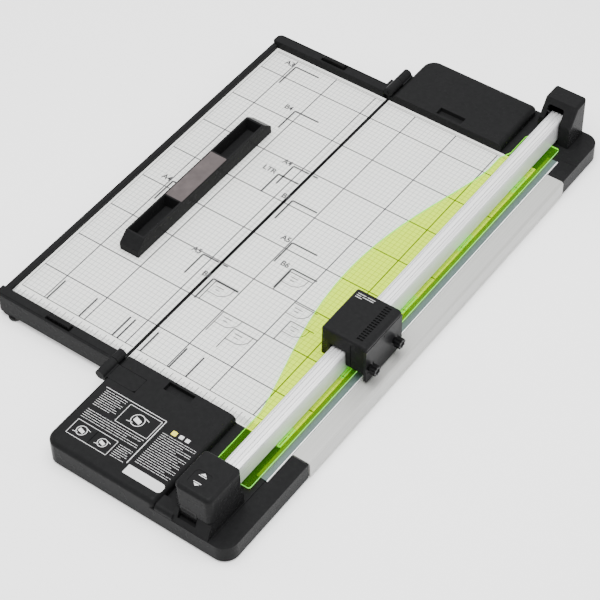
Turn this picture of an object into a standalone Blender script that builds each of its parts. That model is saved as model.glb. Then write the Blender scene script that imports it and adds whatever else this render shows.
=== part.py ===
"""Rotary paper trimmer, A3 size, with a fold-out table.

Sizes are millimetres in the cutting frame: X = 0 is the cutting line, Y = 0 is the paper
edge of the front guide, and Z = 0 is the top of the table.  The rail runs along Y, the
fold-out table lies towards -X.  to_part() turns those millimetres into the part's own
frame: metres, with the origin on the floor under the middle of the outer box.
"""
import bpy
import bmesh
from math import cos, sin, pi, radians
from mathutils import Vector

MM = 0.001
GAP = 0.3                      # clearance left between pieces that touch

# ---- driving dimensions -------------------------------------------------------------
FLOOR_Z = -21.0                # what the feet stand on
BASE_Z = -19.0                 # underside of the casings
GUIDE_Z = 9.5                  # top of the end blocks
FRONT_Y = -119.0
REAR_Y = 509.0
RIGHT_X = 25.0                 # outer side of the edge extrusion
TABLE_LENGTH = 434.0           # between the front and the rear guide
TABLE_LEFT = -186.5
TABLE_RIGHT = -7.6
TABLE_T = 3.0

TRAY_LEFT = -337.0             # outer side of the fold-out table
TRAY_PANEL_LEFT = -331.0
TRAY_PANEL_RIGHT = -190.2
TRAY_GUIDE_Z = 9.0
TRAY_GUIDE_W = 12.0
TRAY_SKIRT_Z = -14.0
HINGE_X = -188.5
HINGE_Z = 9.5
KNUCKLE_R = 5.0

RAIL_X = (-26.0, -10.3)
RAIL_Z = (4.1, 28.5)
RAIL_Y = (-96.0, 490.0)
RAIL_WALL = 1.7
RAIL_MID_X = 0.5 * (RAIL_X[0] + RAIL_X[1])
PIVOT_Y = 497.0
PIVOT_Z = 18.0
PIVOT_PIN_R = 2.5

CAP_X = (-38.0, 1.8)
CAP_Y = (-112.0, -66.0)
CAP_Z = (15.0, 47.5)
CAP_WALL = 2.5
DECK_Z = -0.5                  # low part of the end blocks, beside the rail

TOWER_X = (-33.5, 3.5)
TOWER_TOP_Z = 45.8
TOWER_TOP_Y = 489.5
TOWER_FRONT_Y = 477.0
TOWER_CHIN_Z = 26.5
TOWER_WALL = 3.5
WINDOW_X = (-27.4, -8.9)
WINDOW_TOP_Z = 40.0

MAT_X = (-6.5, 5.5)
MAT_Y = (-37.0, 455.0)
MAT_Z = (-1.1, 0.4)

CLAMP_Z = (1.6, 3.5)
CLAMP_RIGHT = -1.5
CLAMP_LEFT = -45.0
CLAMP_REAR_LEFT = -39.5         # narrower past the folded table's guide
CLAMP_TAPER_Y = (424.0, 437.0)
CLAMP_BULGE = 36.0             # how far the wave reaches over the table
CLAMP_Y = (-54.0, 469.0)
CLAMP_WAVE_Y = 210.0
CLAMP_WAVE_HALF = 195.0

CARRIAGE_Y = (103.5, 161.5)
CARRIAGE_MID_Y = 0.5 * (CARRIAGE_Y[0] + CARRIAGE_Y[1])
COVER_X = (-36.5, 10.0)
COVER_Z = (13.0, 49.8)
COVER_WALL = 2.2
PLATE_X = (10.3, 13.5)
PLATE_Z = (2.6, 46.5)
BLADE_R = 14.0
BLADE_Z = 16.6
BLADE_T = 0.5
BLADE_AXLE_R = 2.0
KNOB_Y = (109.5, 149.5)
KNOB_Z = 19.5
KNOB_R = 5.5

STOP_X = (-281.0, -258.0)
STOP_Y = (107.0, 324.0)
STOP_H = 18.5
STOP_END_Z = 9.0
STOP_SLOPE = 11.0              # length of the sloping part of each end
STOP_PAD_Y = (178.0, 252.0)

HOOK_X = (-275.0, -247.5)      # lock hooks on the fold-out table's guides
HOOK_H = 3.5

ORIGIN = Vector((0.5 * (TRAY_LEFT + RIGHT_X), 0.5 * (FRONT_Y + REAR_Y), FLOOR_Z))


def to_part(x, y, z):
    """Cutting-frame millimetres to the part's frame in metres."""
    return (Vector((x, y, z)) - ORIGIN) * MM


# ---- scene and materials ------------------------------------------------------------
for old in list(bpy.data.objects):
    bpy.data.objects.remove(old, do_unlink=True)

MATERIALS = {}


def material(name, colour, roughness, metallic=0.0, alpha=1.0):
    if name not in MATERIALS:
        mat = bpy.data.materials.new(name)
        mat.use_nodes = True
        shader = mat.node_tree.nodes["Principled BSDF"]
        shader.inputs["Base Color"].default_value = (*colour, 1.0)
        shader.inputs["Roughness"].default_value = roughness
        shader.inputs["Metallic"].default_value = metallic
        shader.inputs["Alpha"].default_value = alpha
        MATERIALS[name] = mat
    return MATERIALS[name]


def black_plastic():
    return material("black_plastic", (0.035, 0.035, 0.036), 0.45)


def dark_plastic():
    return material("dark_plastic", (0.02, 0.02, 0.022), 0.4)


def table_print():
    return material("table_print", (0.74, 0.75, 0.72), 0.5)


def satin_aluminium():
    return material("satin_aluminium", (0.80, 0.80, 0.79), 0.35, 1.0)


def steel():
    return material("steel", (0.62, 0.62, 0.63), 0.25, 1.0)


def green_acrylic():
    return material("green_acrylic", (0.55, 0.85, 0.10), 0.1, 0.0, 0.55)


def mat_grey():
    return material("mat_grey", (0.42, 0.48, 0.47), 0.6)


def rubber():
    return material("rubber", (0.03, 0.03, 0.03), 0.85)


def pad_grey():
    return material("pad_grey", (0.16, 0.14, 0.14), 0.8)


# ---- joints' empties and objects ----------------------------------------------------
PIVOTS = {}


def pivot(name, x, y, z, parent=None):
    """An empty on a joint's axis, which carries the pieces that move with it."""
    empty = bpy.data.objects.new(name, None)
    bpy.context.collection.objects.link(empty)
    world = to_part(x, y, z)
    if parent:
        empty.parent = PIVOTS[parent][0]
        empty.location = world - PIVOTS[parent][1]
    else:
        empty.location = world
    PIVOTS[name] = (empty, world)


def finish(name, bm, mat, carrier=None, smooth_angle=35):
    """Turns a bmesh in the part's frame into a named object, under its carrier."""
    bmesh.ops.recalc_face_normals(bm, faces=bm.faces)
    shift = PIVOTS[carrier][1] if carrier else Vector((0, 0, 0))
    bmesh.ops.translate(bm, vec=-shift, verts=bm.verts)
    mesh = bpy.data.meshes.new(name)
    bm.to_mesh(mesh)
    bm.free()
    mesh.materials.append(mat)
    mesh.shade_smooth()
    mesh.set_sharp_from_angle(angle=radians(smooth_angle))
    obj = bpy.data.objects.new(name, mesh)
    bpy.context.collection.objects.link(obj)
    if carrier:
        obj.parent = PIVOTS[carrier][0]
    return obj


# ---- shapes -------------------------------------------------------------------------
def arc(cx, cy, r, start, end, steps):
    """Points on an arc, angles in degrees, both ends included."""
    return [(cx + r * cos(radians(start + (end - start) * i / steps)),
             cy + r * sin(radians(start + (end - start) * i / steps)))
            for i in range(steps + 1)]


def rounded(x0, x1, y0, y1, radii=(1, 1, 1, 1), steps=4):
    """A rectangle with rounded corners, counter-clockwise from the low corner."""
    corners = ((x0, y0, 1, 1, 180), (x1, y0, -1, 1, 270),
               (x1, y1, -1, -1, 0), (x0, y1, 1, -1, 90))
    points = []
    for (x, y, sx, sy, start), r in zip(corners, radii):
        if r > 0:
            points += arc(x + sx * r, y + sy * r, r, start, start + 90, steps)
        else:
            points.append((x, y))
    return points


def prism(outline, low, high, axis="Z"):
    """An outline extruded along an axis.

    The outline's two numbers are (x, y) for Z, (x, z) for Y and (y, z) for X.
    """
    def at(u, v, w):
        if axis == "Z":
            return to_part(u, v, w)
        if axis == "Y":
            return to_part(u, w, v)
        return to_part(w, u, v)

    bm = bmesh.new()
    bottom = [bm.verts.new(at(u, v, low)) for u, v in outline]
    top = [bm.verts.new(at(u, v, high)) for u, v in outline]
    bm.faces.new(bottom)
    bm.faces.new(top)
    count = len(outline)
    for i in range(count):
        j = (i + 1) % count
        bm.faces.new((bottom[i], bottom[j], top[j], top[i]))
    bmesh.ops.recalc_face_normals(bm, faces=bm.faces)
    return bm


def block(x, y, z):
    """A plain box from three (low, high) pairs."""
    return prism([(x[0], y[0]), (x[1], y[0]), (x[1], y[1]), (x[0], y[1])], z[0], z[1])


def rod(centre, r, low, high, axis="X", steps=24):
    """A cylinder; centre holds the two coordinates across its axis."""
    return prism(arc(centre[0], centre[1], r, 0, 360, steps)[:-1], low, high, axis)


def turned(profile, centre, axis="X", steps=24):
    """A closed solid of revolution; profile is (radius, place along the axis)."""
    bm = bmesh.new()
    rings = []
    for r, w in profile:
        ring = []
        for i in range(steps):
            a = 2 * pi * i / steps
            u, v = centre[0] + r * cos(a), centre[1] + r * sin(a)
            place = {"X": (w, u, v), "Y": (u, w, v), "Z": (u, v, w)}[axis]
            ring.append(bm.verts.new(to_part(*place)))
        rings.append(ring)
    bm.faces.new(rings[0])
    bm.faces.new(rings[-1])
    for a, b in zip(rings, rings[1:]):
        for i in range(steps):
            j = (i + 1) % steps
            bm.faces.new((a[i], a[j], b[j], b[i]))
    bmesh.ops.recalc_face_normals(bm, faces=bm.faces)
    return bm


def soften(bm, width, choose, segments=3):
    """Bevels the edges whose two ends, in cutting-frame millimetres, pass choose()."""
    def back(vert):
        return vert.co / MM + ORIGIN

    edges = [e for e in bm.edges if choose(back(e.verts[0]), back(e.verts[1]))
             and e.calc_face_angle(0) > radians(30)]
    bmesh.ops.bevel(bm, geom=edges, offset=width * MM, segments=segments,
                    affect="EDGES", profile=0.5, clamp_overlap=True)
    return bm


def at_level(z, tolerance=0.01):
    return lambda a, b: abs(a.z - z) < tolerance and abs(b.z - z) < tolerance


def combine(base, tools, operation="DIFFERENCE"):
    """Boolean of a bmesh with a list of others; the tools are used up."""
    for tool in tools:
        objects = []
        for bm in (base, tool):
            mesh = bpy.data.meshes.new("shape")
            bm.to_mesh(mesh)
            bm.free()
            obj = bpy.data.objects.new("shape", mesh)
            bpy.context.collection.objects.link(obj)
            objects.append(obj)
        mod = objects[0].modifiers.new("cut", "BOOLEAN")
        mod.object = objects[1]
        mod.operation = operation
        mod.solver = "EXACT"
        graph = bpy.context.evaluated_depsgraph_get()
        result = objects[0].evaluated_get(graph).to_mesh()
        base = bmesh.new()
        base.from_mesh(result)
        bmesh.ops.remove_doubles(base, verts=base.verts, dist=1e-6)
        bmesh.ops.dissolve_degenerate(base, edges=base.edges, dist=1e-7)
        for obj in objects:
            bpy.data.objects.remove(obj, do_unlink=True)
    return base


def coil(centre, r, wire, low, high, turns, axis, sides=6, per_turn=12):
    """A coil spring with closed ends, as one swept tube."""
    bm = bmesh.new()
    rings = []
    steps = int(turns * per_turn)
    for k in range(steps + 1):
        t = k / steps
        a = 2 * pi * turns * t
        w = low + wire + (high - low - 2 * wire) * t
        ring = []
        for s in range(sides):
            b = 2 * pi * s / sides
            reach = r + wire * cos(b)
            u, v = centre[0] + reach * cos(a), centre[1] + reach * sin(a)
            along = w + wire * sin(b)
            place = {"Y": (u, along, v), "Z": (u, v, along)}[axis]
            ring.append(bm.verts.new(to_part(*place)))
        rings.append(ring)
    bm.faces.new(rings[0])
    bm.faces.new(rings[-1])
    for p, q in zip(rings, rings[1:]):
        for s in range(sides):
            j = (s + 1) % sides
            bm.faces.new((p[s], p[j], q[j], q[s]))
    bmesh.ops.recalc_face_normals(bm, faces=bm.faces)
    return bm


# ---- end blocks ---------------------------------------------------------------------
WALL = 2.5
BLOCK_LEFT = -183.0
BLOCK_STEP = -57.0             # where the tall part of the front block ends
REAR_STEP = -50.0
BLOCK_RIGHT = 24.0
TALL_REAR_Y = REAR_Y - 3.0      # back of the rear block's tall part
COVER_T = 2.0                   # bottom covers
SCREW_R = 1.4
SCREW_X = (-165.0, 4.0)
FRONT_SCREW_Y = -20.0
REAR_SCREW_Y = 455.0
SLOT_X = (-130.5, -100.5)      # takes the fold-out table's lock hook
SLOT_DEPTH = 5.0
SLOT_Y = (3.0, 13.0)            # its sides, out from the paper edge
CORNER_R = 15.0
COVER_SEAM = (-183.0, -149.0, -32.0, -13.5)    # front hinge cover, x then y


def knuckle(y0, y1, mate_x):
    """A hinge barrel with the web that joins it to its casing on the mate_x side."""
    barrel = rod((HINGE_X, HINGE_Z), KNUCKLE_R, y0, y1, "Y")
    web_x = (min(HINGE_X, mate_x), max(HINGE_X, mate_x))
    web = block(web_x, (y0, y1), (HINGE_Z - KNUCKLE_R * 0.9, HINGE_Z - 0.2))
    return combine(barrel, [web], "UNION")


def pin_bore(y0, y1):
    return rod((HINGE_X, HINGE_Z), 1.8, y0, y1, "Y", 16)


def screw_bosses(body, y):
    """Two posts under the deck that take the bottom cover's screws."""
    low = BASE_Z + COVER_T + GAP
    tops = (GUIDE_Z - SLOT_DEPTH - WALL + 1, DECK_Z - WALL - 0.5)
    posts = [rod((x, y), 3.5, low, top, "Z", 20) for x, top in zip(SCREW_X, tops)]
    bores = [rod((x, y), SCREW_R + GAP, low - 1, low + 8, "Z", 16) for x in SCREW_X]
    return combine(combine(body, posts, "UNION"), bores)


def front_block():
    tall = prism(rounded(BLOCK_LEFT, BLOCK_STEP, FRONT_Y, -GAP, (9, 1, 3, 2)), BASE_Z, GUIDE_Z)
    soften(tall, 3.0, at_level(GUIDE_Z))
    low = prism(rounded(BLOCK_STEP - 4, BLOCK_RIGHT, FRONT_Y, -GAP, (0, CORNER_R, 1, 0), 6),
                BASE_Z, DECK_Z)
    soften(low, 1.6, at_level(DECK_Z), 2)
    seam = CAP_Z[0] - 0.5          # the cap's lower edge rests just above
    face, sill = FRONT_Y + 0.2, BASE_Z + 0.2
    receiver = prism([(face, sill), (CAP_Y[1], sill), (CAP_Y[1], seam), (CAP_Y[0], seam), (face, DECK_Z - 0.5)],
                     *CAP_X, "X")
    body = combine(tall, [low, receiver], "UNION")
    inner_r = CORNER_R - WALL
    hollow_tall = prism(rounded(BLOCK_LEFT + WALL, BLOCK_STEP - WALL, FRONT_Y + WALL, -WALL - GAP,
                                (7, 0, 0, 0)), BASE_Z - 1, GUIDE_Z - SLOT_DEPTH - WALL)
    hollow_low = prism(rounded(BLOCK_STEP - WALL - 1, BLOCK_RIGHT - WALL, FRONT_Y + WALL, -WALL - GAP,
                               (0, inner_r, 0, 0)), BASE_Z - 1, DECK_Z - WALL - 1.5)
    pocket = block((CAP_X[0] + WALL, CAP_X[1] - WALL), (CAP_Y[0] + WALL, CAP_Y[1] + 1),
                   (DECK_Z - 0.6, CAP_Z[0] + 1))
    notch = block((-33.0, -13.0), (CAP_Y[0] - 4, CAP_Y[0] + WALL + 1), (3.0, CAP_Z[0] + 1))
    slot = block(SLOT_X, (-SLOT_Y[1], -SLOT_Y[0]), (GUIDE_Z - SLOT_DEPTH, GUIDE_Z + 1))
    groove = block((MAT_X[0] - GAP, MAT_X[1] + GAP), (MAT_Y[0] - GAP, 2),
                   (MAT_Z[0] - GAP, DECK_Z + 2))
    seat = block((COVER_SEAM[0] - 1, COVER_SEAM[1]), (COVER_SEAM[2], COVER_SEAM[3]),
                 (GUIDE_Z - 2.5, GUIDE_Z + 1))
    body = combine(body, [hollow_tall, hollow_low, pocket, notch, slot, groove, seat])
    body = combine(body, [knuckle(-34.0, -13.5, BLOCK_LEFT + 1)], "UNION")
    body = combine(body, [pin_bore(-35, -12)])
    body = screw_bosses(body, FRONT_SCREW_Y)
    finish("front_block", body, black_plastic())


def rear_block():
    tall = prism(rounded(BLOCK_LEFT, REAR_STEP, TABLE_LENGTH + GAP, TALL_REAR_Y, (1, 3, 2, 14), 6),
                 BASE_Z, GUIDE_Z)
    soften(tall, 3.0, at_level(GUIDE_Z))
    low = prism(rounded(REAR_STEP - 4, BLOCK_RIGHT, TABLE_LENGTH + 2 * GAP, REAR_Y,
                        (0, 1, CORNER_R, 0), 6), BASE_Z + 0.2, DECK_Z)
    soften(low, 1.6, at_level(DECK_Z), 2)
    back = REAR_Y - 0.6
    side = [(TOWER_FRONT_Y, DECK_Z - 2), (back, DECK_Z - 2), (back, TOWER_TOP_Z),
            (TOWER_TOP_Y, TOWER_TOP_Z), (TOWER_FRONT_Y, TOWER_CHIN_Z)]
    tower = prism(side, *TOWER_X, "X")
    soften(tower, 2.0, lambda a, b: min(a.z, b.z) > TOWER_CHIN_Z + 1)
    body = combine(tall, [low, tower], "UNION")
    inner_r = CORNER_R - WALL
    hollow_tall = prism(rounded(BLOCK_LEFT + WALL, REAR_STEP - WALL, TABLE_LENGTH + WALL + GAP,
                                TALL_REAR_Y - WALL, (0, 0, 0, inner_r)),
                        BASE_Z - 1, GUIDE_Z - SLOT_DEPTH - WALL)
    hollow_low = prism(rounded(REAR_STEP - WALL - 1, BLOCK_RIGHT - WALL, TABLE_LENGTH + WALL + GAP,
                               TALL_REAR_Y - WALL, (0, 0, inner_r, 0)), BASE_Z - 1, DECK_Z - WALL - 1.5)
    floor = DECK_Z - 0.8
    inside = [(TOWER_FRONT_Y + TOWER_WALL, floor), (REAR_Y - TOWER_WALL, floor),
              (REAR_Y - TOWER_WALL, TOWER_TOP_Z - TOWER_WALL),
              (TOWER_TOP_Y + 1, TOWER_TOP_Z - TOWER_WALL),
              (TOWER_FRONT_Y + TOWER_WALL, TOWER_CHIN_Z - 1)]
    well = prism(inside, TOWER_X[0] + TOWER_WALL, TOWER_X[1] - TOWER_WALL, "X")
    window = block(WINDOW_X, (TOWER_FRONT_Y - 2, PIVOT_Y), (DECK_Z - 0.4, WINDOW_TOP_Z))
    bore = rod((PIVOT_Y, PIVOT_Z), PIVOT_PIN_R + GAP, TOWER_X[0] + 1.2, TOWER_X[1] - 1.2, "X")
    slot = block(SLOT_X, (TABLE_LENGTH + SLOT_Y[0], TABLE_LENGTH + SLOT_Y[1]),
                 (GUIDE_Z - SLOT_DEPTH, GUIDE_Z + 1))
    groove = block((MAT_X[0] - GAP, MAT_X[1] + GAP), (TABLE_LENGTH - 3, MAT_Y[1] + GAP),
                   (MAT_Z[0] - GAP, DECK_Z + 2))
    body = combine(body, [hollow_tall, hollow_low, well, window, bore, slot, groove])
    body = combine(body, [knuckle(454.0, 471.0, BLOCK_LEFT + 1)], "UNION")
    body = combine(body, [pin_bore(453, 472)])
    body = screw_bosses(body, REAR_SCREW_Y)
    finish("rear_block", body, black_plastic())


def bottom_cover(name, y0, y1, radii, screw_y):
    """Plate that closes an end block from below, between its walls."""
    x0, x1 = BLOCK_LEFT + WALL + GAP, BLOCK_RIGHT - WALL - GAP
    cover = prism(rounded(x0, x1, y0 + GAP, y1 - GAP, radii), BASE_Z, BASE_Z + COVER_T)
    holes = [rod((x, screw_y), SCREW_R + GAP, BASE_Z - 1, BASE_Z + COVER_T + 1, "Z", 16)
             for x in SCREW_X]
    finish(name, combine(cover, holes), dark_plastic())


def hinge_cover():
    x0, x1, y0, y1 = COVER_SEAM
    cover = prism(rounded(x0 + 1.5, x1 - GAP, y0 + GAP, y1 - GAP, (1, 4, 1, 1)),
                  GUIDE_Z - 2.2, GUIDE_Z - 0.1)
    finish("hinge_cover", cover, black_plastic())


# ---- table, edge and cutting mat ----------------------------------------------------
def table():
    panel = block((TABLE_LEFT, TABLE_RIGHT), (GAP, TABLE_LENGTH - GAP), (-TABLE_T, 0))
    finish("main_table", panel, table_print())
    z_top = -TABLE_T - GAP
    pan = block((TABLE_LEFT + 1, 5.6), (1, TABLE_LENGTH - 2), (BASE_Z, z_top))
    hollow = block((TABLE_LEFT + 4, 2.6), (4, TABLE_LENGTH - 5), (BASE_Z + 2.5, z_top + 1))
    finish("base_pan", combine(pan, [hollow]), dark_plastic())


def edge_extrusion():
    x0, x1 = MAT_X[1] + 0.6, RIGHT_X
    profile = [(x0, -4.0), (x0, 0.0)]
    profile += [(x1 - 2 + 2 * sin(radians(a)), -2 + 2 * cos(radians(a))) for a in (0, 30, 60, 90)]
    profile += [(x1, BASE_Z), (x1 - 9, BASE_Z), (x1 - 9, BASE_Z + 2.2), (x1 - 2.2, BASE_Z + 2.2),
                (x1 - 2.2, -4.0)]
    edge = prism(profile, GAP, TABLE_LENGTH - GAP, "Y")
    finish("edge_extrusion", edge, satin_aluminium())


def cutting_mat():
    strip = block(MAT_X, MAT_Y, MAT_Z)
    finish("cutting_mat", strip, mat_grey())
    channel = block((TABLE_RIGHT + GAP, MAT_X[1] + GAP), (GAP, TABLE_LENGTH - GAP), (-3.0, MAT_Z[0] - GAP))
    finish("mat_channel", channel, satin_aluminium())


def foot(name, x, y, z_top, carrier=None):
    pad = turned([(6.2, FLOOR_Z), (7.0, FLOOR_Z + 0.8), (7.0, z_top)], (x, y), "Z", 20)
    finish(name, pad, rubber(), carrier)


def screw(name, x, y):
    """A pan-head screw that holds the bottom cover to the block's post."""
    under_head = BASE_Z - GAP
    profile = [(2.4, under_head - 1.2), (3.0, under_head - 0.7), (3.0, under_head),
               (SCREW_R, under_head), (SCREW_R, BASE_Z + COVER_T + 7)]
    finish(name, turned(profile, (x, y), "Z", 16), steel())


# ---- fold-out table -----------------------------------------------------------------
GUIDE_RIGHT = -194.5


def tray_guide(name, y_in, y_out, knuckle_y):
    """One end guide: bar with a skirt, a hinge barrel and a leg at its free end."""
    low, high = min(y_in, y_out), max(y_in, y_out)
    bar = block((TRAY_LEFT, GUIDE_RIGHT), (low, high), (TRAY_SKIRT_Z, TRAY_GUIDE_Z))
    soften(bar, 1.2, at_level(TRAY_GUIDE_Z), 2)
    relief = block((-308.0, GUIDE_RIGHT + 1), (low + 2, high - 2), (TRAY_SKIRT_Z - 1, TRAY_GUIDE_Z - 5))
    leg = prism([(TRAY_LEFT + 2, -12.0), (TRAY_LEFT + 8, -18.0), (-312.0, -18.0), (-308.0, -12.0)],
                low + 1, high - 1, "Y")
    seat = block((HOOK_X[0] - 1.5, HOOK_X[1] + 1.5), (low + 2.5, high - 2.5),
                 (TRAY_GUIDE_Z - 3, TRAY_GUIDE_Z + 1))
    body = combine(bar, [relief])
    body = combine(body, [leg], "UNION")
    body = combine(body, [seat])
    body = combine(body, [knuckle(*knuckle_y, GUIDE_RIGHT - 3)], "UNION")
    body = combine(body, [pin_bore(knuckle_y[0] - 1, knuckle_y[1] + 1)])
    finish(name, body, black_plastic(), "tray_pivot")


def hook(name, y_mid):
    """A lock hook, standing in the guide's recess."""
    x0, x1 = HOOK_X
    top = TRAY_GUIDE_Z + HOOK_H
    stem = prism([(x0, TRAY_GUIDE_Z - 2.7), (x1, TRAY_GUIDE_Z - 2.7), (x1, top - 1.5),
                  (x1 - 1.5, top), (x0 + 1.5, top), (x0, top - 1.5)], y_mid - 2.2, y_mid + 2.2, "Y")
    finish(name, stem, dark_plastic(), "tray_pivot")


def fold_out_table():
    panel = block((TRAY_PANEL_LEFT, TRAY_PANEL_RIGHT), (GAP, TABLE_LENGTH - GAP), (-TABLE_T, 0))
    finish("tray_panel", panel, table_print(), "tray_pivot")
    bar = block((TRAY_LEFT, TRAY_PANEL_LEFT - GAP), (GAP, TABLE_LENGTH - GAP), (TRAY_SKIRT_Z, 5.0))
    soften(bar, 1.2, at_level(5.0), 2)
    finish("tray_side_bar", bar, black_plastic(), "tray_pivot")
    tray_guide("tray_front_guide", 0.0, -TRAY_GUIDE_W, (-13.0, -0.6))
    tray_guide("tray_rear_guide", TABLE_LENGTH, TABLE_LENGTH + TRAY_GUIDE_W,
               (TABLE_LENGTH + 0.6, 453.5))
    hook("tray_front_hook", -6.0)
    hook("tray_rear_hook", TABLE_LENGTH + 6.0)
    foot("tray_front_foot", -320.0, -6.0, -18.0 - GAP, "tray_pivot")
    foot("tray_rear_foot", -320.0, TABLE_LENGTH + 6.0, -18.0 - GAP, "tray_pivot")


def hinge_pins():
    for name, y0, y1 in (("front_hinge_pin", -33.5, -1.0), ("rear_hinge_pin", 435.0, 470.5)):
        finish(name, rod((HINGE_X, HINGE_Z), 1.5, y0, y1, "Y", 16), steel())


def paper_stop():
    """Trough-like bar with sloping ends, an open compartment each end and a pad between."""
    x0, x1 = STOP_X
    y0, y1 = STOP_Y
    side = [(y0, GAP), (y1, GAP), (y1, STOP_END_Z), (y1 - STOP_SLOPE, STOP_H),
            (y0 + STOP_SLOPE, STOP_H), (y0, STOP_END_Z)]
    bar = prism(side, x0, x1, "X")
    soften(bar, 0.8, lambda a, b: abs(a.x - b.x) < 1 and min(a.z, b.z) > 1, 2)
    near = block((x0 + 2, x1 - 3), (y0 + STOP_SLOPE + 2, STOP_PAD_Y[0] - 1.5), (3, STOP_H + 1))
    far = block((x0 + 2, x1 - 3), (STOP_PAD_Y[1] + 1.5, y1 - STOP_SLOPE - 2), (3, STOP_H + 1))
    seat = block((x0 + 1.2, x1 - 1.2), STOP_PAD_Y, (STOP_H - 1, STOP_H + 1))
    finish("paper_stop", combine(bar, [near, far, seat]), black_plastic(), "stop_pivot")
    pad = block((x0 + 1.5, x1 - 1.5), (STOP_PAD_Y[0] + GAP, STOP_PAD_Y[1] - GAP),
                (STOP_H - 0.7, STOP_H - 0.1))
    finish("stop_pad", pad, pad_grey(), "stop_pivot")


# ---- rail, clamp sheet and front latch ----------------------------------------------
def rail():
    x0, x1 = RAIL_X
    z0, z1 = RAIL_Z
    outline = rounded(x0, x1, z0, z1, (0.6, 0.6, 2.2, 2.2), 3)
    tube = prism(outline, *RAIL_Y, "Y")
    bore = block((x0 + RAIL_WALL, x1 - RAIL_WALL), (RAIL_Y[0] - 1, RAIL_Y[1] + 1),
                 (z0 + RAIL_WALL, z1 - RAIL_WALL - 0.6))
    lips = [block((RAIL_MID_X + k - 0.3, RAIL_MID_X + k + 0.3), (RAIL_Y[0] - 1, RAIL_Y[1] + 1),
                  (z1 - 0.5, z1 + 1)) for k in (-4.2, 0.8, 4.6)]
    finish("rail", combine(tube, [bore] + lips), satin_aluminium(), "rail_pivot")


def rail_ends():
    inner_x = (RAIL_X[0] + RAIL_WALL + GAP, RAIL_X[1] - RAIL_WALL - GAP)
    inner_z = (RAIL_Z[0] + RAIL_WALL + GAP, RAIL_Z[1] - RAIL_WALL - 0.6 - GAP)
    tail = block(inner_x, (462.0, 501.0), inner_z)
    bore = rod((PIVOT_Y, PIVOT_Z), PIVOT_PIN_R + GAP, inner_x[0] - 1, inner_x[1] + 1)
    finish("rail_pivot_block", combine(tail, [bore]), dark_plastic(), "rail_pivot")
    plug = block(inner_x, (-97.0, -74.0), inner_z)
    flange = block((-31.0, -5.0), (-98.8, RAIL_Y[0] - GAP), (6.5, 42.0))
    finish("rail_end_plug", combine(plug, [flange], "UNION"), dark_plastic(), "rail_pivot")
    pin = rod((PIVOT_Y, PIVOT_Z), PIVOT_PIN_R, TOWER_X[0] + 1.6, TOWER_X[1] - 1.6)
    finish("rail_pivot_pin", pin, steel())


def front_cap():
    cap = prism(rounded(*CAP_X, *CAP_Y, (3, 3, 3, 3)), *CAP_Z)
    soften(cap, 2.0, at_level(CAP_Z[1]))
    inside = block((CAP_X[0] + CAP_WALL, CAP_X[1] - CAP_WALL),
                   (CAP_Y[0] + CAP_WALL, CAP_Y[1] - CAP_WALL), (CAP_Z[0] - 1, CAP_Z[1] - CAP_WALL))
    door = block((RAIL_X[0] - GAP, RAIL_X[1] + GAP), (CAP_Y[1] - CAP_WALL - 1, CAP_Y[1] + 1),
                 (CAP_Z[0] - 1, RAIL_Z[1] + GAP))
    cut = block((-32.4, -13.6), (CAP_Y[0] - 1, CAP_Y[0] + CAP_WALL + 1), (CAP_Z[0] - 1, 20.4))
    recess = prism(rounded(-29.5, -11.0, -105.0, -87.0, (6, 6, 6, 6)), CAP_Z[1] - 0.8, CAP_Z[1] + 1)
    finish("rail_end_cap", combine(cap, [inside, door, cut, recess]), black_plastic(), "rail_pivot")


def latch():
    tongue = block((-32.0, -14.0), (CAP_Y[0], CAP_Y[0] + 3.5), (6.5, 20.0))
    stem = block((-27.0, -19.0), (CAP_Y[0] + CAP_WALL + GAP, CAP_Y[0] + 6), (12.0, 38.0))
    finish("latch_tongue", combine(tongue, [stem], "UNION"), dark_plastic(), "latch_pivot")
    spring = coil((-23.0, 33.5), 2.6, 0.4, CAP_Y[0] + 6.3, -99.1, 3, "Y")
    finish("latch_spring", spring, steel(), "rail_pivot")


def clamp_outline(steps=40):
    """Straight right edge; the left edge swells into one smooth wave over the table."""
    y0, y1 = CLAMP_Y
    points = [(CLAMP_RIGHT, y0), (CLAMP_RIGHT, y1)]
    points += arc(CLAMP_REAR_LEFT + 5, y1 - 5, 5, 90, 180, 4)
    points += [(CLAMP_REAR_LEFT, CLAMP_TAPER_Y[1]), (CLAMP_LEFT, CLAMP_TAPER_Y[0])]
    start, end = CLAMP_WAVE_Y + CLAMP_WAVE_HALF, CLAMP_WAVE_Y - CLAMP_WAVE_HALF
    for i in range(steps + 1):
        y = start + (end - start) * i / steps
        t = (y - CLAMP_WAVE_Y) / CLAMP_WAVE_HALF
        points.append((CLAMP_LEFT - CLAMP_BULGE * max(0.0, 1 - t * t) ** 1.5, y))
    points.append((CLAMP_LEFT, y0))
    return points


def clamp_sheet():
    sheet = prism(clamp_outline(), *CLAMP_Z)
    lugs = []
    for k in range(5):
        y0 = -3.0 + 98.0 * k
        lugs.append(prism(rounded(-9.4, -6.2, y0, y0 + 25, (1.5,) * 4, 3), CLAMP_Z[0] + 0.5,
                          CLAMP_Z[1] + 2.0))
    finish("clamp_sheet", combine(sheet, lugs, "UNION"), green_acrylic(), "clamp_pivot")


# ---- carriage -----------------------------------------------------------------------
SHOE_X = (-29.5, -7.0)
SHOE_Z = (9.0, 31.8)


def carriage_shoe():
    y = (CARRIAGE_Y[0] + 3, CARRIAGE_Y[1] - 3)
    shoe = block(SHOE_X, y, SHOE_Z)
    groove = block((RAIL_X[0] - GAP, RAIL_X[1] + GAP), (y[0] - 1, y[1] + 1),
                   (SHOE_Z[0] - 1, RAIL_Z[1] + GAP))
    finish("carriage_shoe", combine(shoe, [groove]), dark_plastic(), "carriage_pivot")


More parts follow.
